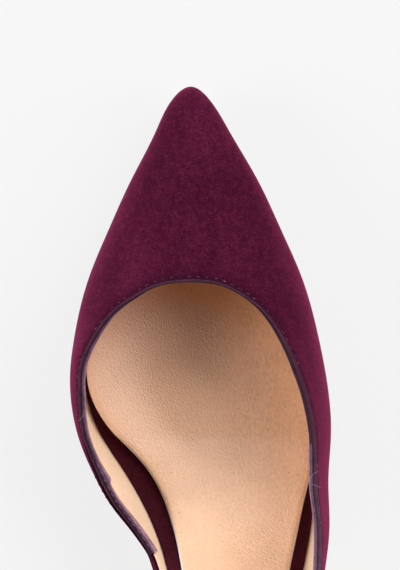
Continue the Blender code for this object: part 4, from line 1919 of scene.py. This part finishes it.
    def sew(self, name: str, seats: np.ndarray, ups: np.ndarray, ways: np.ndarray) -> Piece:
        """Sets a row of slightly uneven stitches.

        Args:
            name: The row's name.
            seats: Where the stitches sit, in metres.
            ups: The surface's normals there.
            ways: The row's directions there.

        Returns:
            The row as one piece.
        """
        model = self.model_stitch()
        leans = self.random.normal(0.0, self.stitch_lean, len(seats))
        copies = []
        for seat, up, way, lean in zip(seats, ups, ways, leans):
            across = unit(np.cross(up, way))
            along = unit(np.cross(across, up) + lean * across)
            frame = Matrix(np.column_stack([along, np.cross(up, along), up]).tolist()).to_4x4()
            copy = model.copy()
            copy.data = model.data.copy()
            copy.data.transform(Matrix.Translation(seat.tolist()) @ frame)
            bpy.context.scene.collection.objects.link(copy)
            copies.append(copy)
        bpy.data.objects.remove(model)
        return join(copies, name)

    def make_stitches(self, suede: Piece) -> Piece:
        """The row of stitches below the edge, sunk into the suede.

        Args:
            suede: The piece that they are sewn into.

        Returns:
            The row as one piece.
        """
        q = np.arange(self.back + self.stitch_pitch, self.front - self.stitch_pitch, self.stitch_pitch)
        edge, normal, beyond = self.loop.frames(q)
        seats, ups = [], []
        for seat, way in zip(self.last.to_world(edge - self.stitch_in * beyond), normal * MIRROR):
            _, found, up, _ = suede.closest_point_on_mesh(Vector(seat))
            seats.append(found)
            ups.append(np.array(up) * (1.0 if np.dot(up, way) > 0 else -1.0))
        ways = self.loop.ways(q) * MIRROR
        return self.sew("topline_stitches", np.array(seats), np.array(ups), ways)

    def make_wing_stitches(self) -> Piece:
        """The stitches that show on the inner wing, where the tape meets its flap.

        Returns:
            The row as one piece.
        """
        q = np.arange(self.wing_stitch_start, self.front - self.stitch_pitch, self.stitch_pitch)
        edge, normal, beyond = self.loop.frames(q)
        tape = self.binding(q)[:, [TAPE]]
        seats = self.last.to_world(edge - tape * normal + self.wing_stitch_on * beyond)
        return self.sew("wing_stitches", seats, beyond * MIRROR, self.loop.ways(q) * MIRROR)

    def make_threads(self) -> Piece:
        """Loose ends of thread where the tape starts and ends its laps."""
        return join([self.make_strand(strand) for strand in STRANDS], "thread_ends")

    def make_strand(self, strand: Strand) -> Piece:
        """One loose end of thread across the tape.

        Args:
            strand: Where the thread lies.

        Returns:
            The thread.
        """
        start = self.last.collar_distance(strand.u, strand.side)
        at = np.linspace(0, 1, self.strand_points)
        section = Spline(np.linspace(0, 1, len(strand.path)), strand.path)(at)
        edge, normal, beyond = self.loop.frames(start + strand.drift * at)
        middle = edge + section[:, :1] * normal + section[:, 1:] * beyond
        way = unit(np.gradient(middle, axis=0))
        first = unit(np.cross(way, self.strand_guide))
        second = np.cross(way, first)
        angles = np.linspace(0, 2 * np.pi, self.strand_sides, endpoint=False)[None, :, None]
        radius = self.strand_radius * (1 - self.strand_taper * at)[:, None, None]
        ring = np.cos(angles) * first[:, None] + np.sin(angles) * second[:, None]
        return add_skin("strand", self.last.to_world(middle[:, None] + radius * ring), angle=60.0)

    def build(self, suede: Piece) -> list[Piece]:
        """Makes the tape, the flap, its lap, the two rows of stitches and the loose threads.

        Args:
            suede: The piece that the stitches are sewn into.

        Returns:
            The pieces.
        """
        return [
            self.make_tape(),
            self.make_flap(),
            self.make_lap(),
            self.make_stitches(suede),
            self.make_wing_stitches(),
            self.make_threads(),
        ]

    def dress(self, pieces: Sequence[Piece]) -> None:
        """Gives the tapes and threads their finishes.

        Args:
            pieces: The pieces in the order that they were made.
        """
        tape, flap, lap, stitches, wing_stitches, threads = pieces
        inner = FLAP_TAPE.material("flap_tape")
        paint(tape, EDGE_TAPE.material("edge_tape"))
        paint(flap, inner)
        paint(lap, inner)
        paint(stitches, STITCH_THREAD.material("stitch_thread"))
        paint(wing_stitches, WING_THREAD.material("wing_thread"))
        paint(threads, LOOSE_THREAD.material("loose_thread"))
        settle(tape, Slot.BINDING, "topline_binding")
        for piece in (flap, lap, stitches, wing_stitches, threads):
            settle(piece, Slot.BINDING)


@dataclass
class FootBed:
    """The covered board and the padded sock on it."""

    last: Last
    board: float = 2.4
    board_tip: float = 1.4
    board_round: float = 0.4
    round_share: float = 0.3
    board_in: float = 0.1
    in_share: float = 0.1
    turn_points: int = 6
    top_points: int = 14
    sock: float = 1.5
    sock_over: float = 0.06
    pad: float = 0.5
    pad_u: float = 90.0
    pad_reach: float = 45.0
    arch_rise: float = 2.2
    arch_reach: float = 20.0
    arch_u: float = 98.0
    arch_length: float = 30.0
    hollow: float = 0.30
    hollow_x: float = 6.0
    hollow_width: float = 13.0
    hollow_u: float = 112.0
    hollow_length: float = 15.0
    rolled: float = 0.25
    rolled_reach: float = 1.6
    skive: float = 0.32
    skive_share: float = 0.2
    cut_profile: tuple[tuple[float, float], ...] = ((0.0, 0.0), (0.05, 0.45), (0.5, 0.8))
    stations: int = 170
    across: int = 60
    tip: float = 0.02

    def along(self, front: float, back: float) -> np.ndarray:
        """Places along the shoe from front to back, closer together at both ends."""
        return front + (back - front) * (1 - np.cos(np.linspace(0, math.pi, self.stations))) / 2

    def make_board(self) -> Piece:
        """The board, wrapped in thin suede that rounds its upper edges, which stand in from its foot.

        Returns:
            The board's cover.
        """
        line = self.last.outline(self.last.wall + self.last.gap)
        u = self.along(line.toe + self.board_tip, line.back - self.tip)
        left, right = line.inner_x(u), line.outer_x(u)
        sections = []
        turn = np.linspace(0, math.pi / 2, self.turn_points)
        for a, b in zip(left, right):
            r = min(self.board_round, self.round_share * (b - a))
            inset = min(self.board_in, self.in_share * (b - a)) + r
            over_a, over_b = a + inset, b - inset
            right_turn = np.column_stack([over_b + r * np.cos(turn), self.board - r + r * np.sin(turn)])
            left_turn = np.column_stack([over_a - r * np.sin(turn), self.board - r + r * np.cos(turn)])
            top = np.linspace(over_b, over_a, self.top_points)[1:-1]
            flat = np.column_stack([top, np.full_like(top, self.board)])
            sections.append(np.vstack([[(a, 0.0), (b, 0.0)], right_turn, flat, left_turn]))
        return add_skin("insole_board_cover", self.last.bottom_rings(u, np.array(sections)))

    def sock_height(self, share: np.ndarray, x: np.ndarray, u: float) -> np.ndarray:
        """How far the padding and the hand-worked unevenness lift the sock.

        Args:
            share: Places across the sock, from 0 at its inner edge to 1.
            x: The same places in plan.
            u: The place along the shoe.

        Returns:
            The lift in millimetres.
        """
        crown = self.pad * float(bump_curve(u, self.pad_u, self.pad_reach))
        crown = crown * (1 - np.abs(2 * share - 1) ** 3)
        arch = self.arch_rise * float(bump_curve(u, self.arch_u, self.arch_length))
        arch = arch * (1 - ease(x - x.min(), 0.0, self.arch_reach))
        hollow = self.hollow * float(bump_curve(u, self.hollow_u, self.hollow_length))
        return crown + arch - hollow * bump_curve(x, self.hollow_x, self.hollow_width)

    def make_sock(self) -> Piece:
        """The padded leather sock, with a skived cut edge all round.

        Returns:
            The sock.
        """
        line = self.last.outline(self.last.wall + self.last.gap)
        border = Spline([b.u for b in SOCK_BORDER], [(b.med, b.lat) for b in SOCK_BORDER])
        u = self.along(line.toe + SOCK_BORDER[0].med + self.tip, line.back - SOCK_BORDER[-1].med)
        low = self.board + self.sock_over
        high = self.board + self.last.gap + self.sock
        share = np.linspace(1, 0, self.across)
        sections = []
        for station, (med, lat) in zip(u, border(u)):
            a, b = line.inner_x(station) + med, line.outer_x(station) - lat
            cut = min(self.skive, self.skive_share * (b - a))
            x = a + cut + (b - a - 2 * cut) * share
            lift = high + self.sock_height(share, x, float(station))
            inside = np.minimum(share, 1 - share) * (b - a) / self.rolled_reach
            lift -= self.rolled * (1 - np.clip(inside, 0, 1)) ** 2
            right = [(b - p * cut, low + r * (lift[0] - low)) for p, r in self.cut_profile]
            left = [(a + p * cut, low + r * (lift[-1] - low)) for p, r in reversed(self.cut_profile)]
            sections.append(np.vstack([right, np.column_stack([x, lift]), left]))
        piece = add_skin("sock", self.last.bottom_rings(u, np.array(sections)), angle=55.0)
        mark_edges(piece, len(sections[0]), len(self.cut_profile))
        return piece

    def build(self) -> list[Piece]:
        """Makes the board's cover and the sock."""
        return [self.make_board(), self.make_sock()]

    def dress(self, pieces: Sequence[Piece]) -> None:
        """Gives the board and the sock their finishes.

        Args:
            pieces: The two pieces.
        """
        board, sock = pieces
        paint(board, WINE_COVER.material("board_suede"))
        paint(sock, SOCK_LEATHER.material("sock_leather"), SOCK_EDGE.material("sock_cut_edge"))
        settle(board, Slot.BOARD, "insole_board")
        settle(sock, Slot.SOCK, "insole_sock")


@dataclass
class Outsole:
    """The thin leather sole from the toe to the heel's breast."""

    last: Last
    inset: float = 1.1
    edge_round: float = 0.8
    round_share: float = 0.3
    breast: float = 188.7
    toe_face: float = 0.7
    stations: int = 150
    crowding: float = 1.6
    turn_points: int = 6
    across: int = 20
    tip: float = 0.02
    seam: float = 0.03

    def build(self) -> Piece:
        """Makes the sole, with rounded lower edges and a flat tread.

        Returns:
            The sole.
        """
        line = self.last.outline(self.inset)
        front = np.linspace(0, 1, self.stations) ** self.crowding
        u = line.toe + self.tip + (self.breast - line.toe - self.tip) * front
        low, high = -self.last.gap - self.last.outsole, -self.seam
        turn = np.linspace(0, math.pi / 2, self.turn_points)
        sections = []
        for a, b in zip(line.inner_x(u), line.outer_x(u)):
            r = min(self.edge_round, self.round_share * (b - a))
            left = np.column_stack([a + r - r * np.cos(turn), low + r - r * np.sin(turn)])
            right = np.column_stack([b - r + r * np.sin(turn), low + r - r * np.cos(turn)])
            bottom = np.linspace(a + r, b - r, self.across)[1:-1]
            flat = np.column_stack([bottom, np.full_like(bottom, low)])
            sections.append(np.vstack([[(a, high)], left, flat, right, [(b, high)]]))
        piece = add_skin("leather_sole", self.last.bottom_rings(u, np.array(sections)))
        mark_edges(piece, len(sections[0]), self.turn_points - 1, self.toe_face)
        return piece

    def dress(self, piece: Piece) -> None:
        """Gives the sole its finish."""
        paint(piece, SOLE_LEATHER.material("sole_leather"), SOLE_EDGE.material("sole_edge"))
        settle(piece, Slot.SOLE, "outsole")


@dataclass
class Heel:
    """The covered stiletto heel and its top piece."""

    last: Last
    inset: float = 0.5
    front_u: float = 189.0
    tip_flare: float = 0.25
    sides: int = 96
    rings: int = 54
    crowding: float = 1.2
    seat_points: int = 80
    corner_passes: int = 10
    back_in: float = 0.02
    seam: float = 0.03

    def seat(self) -> np.ndarray:
        """The seat's plan, with its breast corners eased.

        Returns:
            Evenly spaced points round it.
        """
        line = self.last.outline(self.inset)
        run = np.sin(np.linspace(0, math.pi / 2, self.seat_points))
        u = self.front_u + (line.back - self.back_in - self.front_u) * run
        outer = np.column_stack([line.outer_x(u), u])
        inner = np.column_stack([line.inner_x(u), u])[::-1]
        ring = np.vstack([outer, inner[1:], outer[:1]])
        length = running_length(ring)
        at = np.linspace(0, length[-1], self.sides, endpoint=False)
        even = np.column_stack([np.interp(at, length, c) for c in ring.T])
        for _ in range(self.corner_passes):
            even = 0.5 * even + 0.25 * (np.roll(even, 1, axis=0) + np.roll(even, -1, axis=0))
        low, high = ring.min(axis=0), ring.max(axis=0)
        now_low, now_high = even.min(axis=0), even.max(axis=0)
        return low + (even - now_low) / (now_high - now_low) * (high - low)

    def build(self) -> list[Piece]:
        """Makes the heel from its seat down to its tip, and the top piece under it.

        Returns:
            The two pieces.
        """
        seat = self.seat()
        centre = LAST[-1].med_x
        sizes = Spline([r.drop for r in HEEL], [(r.half_width, r.front_u, r.back_u) for r in HEEL])
        front, back = seat[:, 1].min(), seat[:, 1].max()
        along = (seat[:, 1] - front) / (back - front)
        across = (seat[:, 0] - centre) / HEEL[0].half_width
        seat_z = self.last.bottom_point(seat[:, 1], np.full(len(seat), -self.seam))[1]
        foot_z = TIP[0].height + self.seam
        rings = []
        for drop in np.linspace(0, 1, self.rings) ** self.crowding:
            half, low_u, high_u = sizes(drop)[0]
            x, u = centre + across * half, low_u + along * (high_u - low_u)
            rings.append(np.column_stack([x, u, seat_z + drop * (foot_z - seat_z)]))
        heel = add_skin("heel_cover", self.last.to_world(np.array(rings)))
        return [heel, self.make_tip(across, along, centre)]

    def make_tip(self, across: np.ndarray, along: np.ndarray, centre: float) -> Piece:
        """The top piece: a dense rubber plug with an eased edge and a shallow moulded line round it.

        Args:
            across: The seat's points across, as shares of its half width.
            along: The seat's points along, as shares of its length.
            centre: The heel's middle line.

        Returns:
            The top piece.
        """
        end = HEEL[-1]
        rings = []
        for height, grown in TIP:
            grow = self.tip_flare + grown
            x = centre + across * (end.half_width + grow)
            u = end.front_u - grow + along * (end.back_u - end.front_u + 2 * grow)
            rings.append(np.column_stack([x, u, np.full(len(x), height)]))
        return add_skin("top_piece", self.last.to_world(np.array(rings)), angle=30.0)

    def dress(self, pieces: Sequence[Piece]) -> None:
        """Gives the heel and its top piece their finishes.

        Args:
            pieces: The two pieces.
        """
        heel, tip = pieces
        paint(heel, replace(WINE_SUEDE, edge_tone_and_shade=None).material("heel_suede"))
        paint(tip, TIP_RUBBER.material("tip_rubber"))
        settle(heel, Slot.HEEL, "heel")
        settle(tip, Slot.TIP, "heel_tip")


@dataclass
class Studio:
    """A pale floor, soft light and a camera straight above the forepart."""

    camera_at: tuple[float, float, float] = (-0.00023, 0.05734, 1.6)
    lens: float = 328.4
    floor_size: float = 8.0
    floor_glow: float = 0.80
    floor_tone: float = 0.10
    room_light: float = 0.0
    aim: tuple[float, float, float] = (0.0, 0.03, 0.02)
    light_distance: float = 1.6
    clip: tuple[float, float] = (0.05, 30.0)
    soft_boxes: tuple[SoftBox, ...] = (
        SoftBox("outer_low_key", 90.0, 20.0, 5.5, 0.8),
        SoftBox("outer_key", 90.0, 33.0, 11.5, 0.8),
        SoftBox("outer_toe_key", 45.0, 33.0, 13.0, 0.8),
        SoftBox("outer_toe_high", 45.0, 50.0, 3.5, 0.8),
        SoftBox("toe_fill", 0.0, 33.0, 9.0, 0.8),
        SoftBox("inner_toe_fill", 315.0, 33.0, 2.0, 0.8),
        SoftBox("inner_fill", 270.0, 20.0, 28.5, 0.8),
        SoftBox("inner_back_fill", 225.0, 20.0, 2.5, 0.8),
        SoftBox("outer_gloss_card", 90.0, 56.0, 5.0, 0.4, True),
        SoftBox("toe_gloss_card", 15.0, 72.0, 4.0, 0.4, True),
    )

    def make_floor(self) -> None:
        """Lays the floor: pale, matt and mostly self-lit, so that shadows on it stay faint."""
        bpy.ops.object.select_all(action="DESELECT")
        bpy.ops.mesh.primitive_plane_add(size=self.floor_size)
        floor = bpy.context.object
        floor.name = "studio_floor"
        shader = Shader("studio_floor")
        tooth = shader.noise(shader.place(), scale=300.0, detail=2.0)
        shader.bump(tooth, strength=0.02, depth_mm=0.05)
        paint(floor, shader.finish(
            Base_Color=(self.floor_tone,) * 3,
            Roughness=1.0,
            Specular_IOR_Level=0.0,
            Emission_Color=(1.0, 1.0, 1.0),
            Emission_Strength=self.floor_glow,
        ))

    def add_light(self, box: SoftBox) -> None:
        """Hangs a soft box that faces the shoe.

        Args:
            box: The soft box.
        """
        bearing, elevation = math.radians(box.bearing), math.radians(box.elevation)
        level = math.cos(elevation)
        away = Vector((level * math.sin(bearing), level * math.cos(bearing), math.sin(elevation)))
        light = bpy.data.lights.new(box.name, "AREA")
        light.energy = box.power
        light.size = box.size
        lamp = bpy.data.objects.new(box.name, light)
        lamp.location = Vector(self.aim) + self.light_distance * away
        lamp.rotation_euler = away.to_track_quat("Z", "Y").to_euler()
        lamp.visible_camera = False
        lamp.visible_diffuse = not box.gloss_only
        bpy.context.scene.collection.objects.link(lamp)

    def make_lights(self) -> None:
        """Sets the room light, and the soft boxes and gloss cards round the shoe."""
        world = bpy.data.worlds.new("studio")
        world.use_nodes = True
        back = world.node_tree.nodes["Background"]
        back.inputs["Color"].default_value = (1.0, 1.0, 1.0, 1.0)
        back.inputs["Strength"].default_value = self.room_light
        bpy.context.scene.world = world
        for box in self.soft_boxes:
            self.add_light(box)

    def make_camera(self) -> None:
        """Sets the camera straight above the shoe, with the toe at the top of the picture."""
        camera = bpy.data.cameras.new("camera")
        camera.lens = self.lens
        camera.clip_start, camera.clip_end = self.clip
        holder = bpy.data.objects.new("camera", camera)
        holder.location = self.camera_at
        bpy.context.scene.collection.objects.link(holder)
        bpy.context.scene.camera = holder

    def build(self) -> None:
        """Makes the floor, the lights and the camera."""
        bpy.context.scene.view_settings.view_transform = "Standard"
        self.make_floor()
        self.make_lights()
        self.make_camera()


def clear_scene() -> None:
    """Empties the scene that Blender starts with."""
    for obj in list(bpy.data.objects):
        bpy.data.objects.remove(obj)


def main() -> None:
    """Loads the frame, builds and dresses each sub-assembly, and sets the studio."""
    logging.basicConfig(level=logging.INFO, format="%(name)s: %(message)s")
    clear_scene()
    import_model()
    last = Last()
    topline = Topline(last)
    upper = Upper(last)
    walls = upper.build(topline)
    edges = topline.build(walls[0])
    foot_bed = FootBed(last)
    beds = foot_bed.build()
    sole = Outsole(last)
    sole_piece = sole.build()
    heel = Heel(last)
    heel_pieces = heel.build()
    upper.dress(walls)
    topline.dress(edges)
    foot_bed.dress(beds)
    sole.dress(sole_piece)
    heel.dress(heel_pieces)
    Studio().build()


if __name__ == "__main__":
    main()
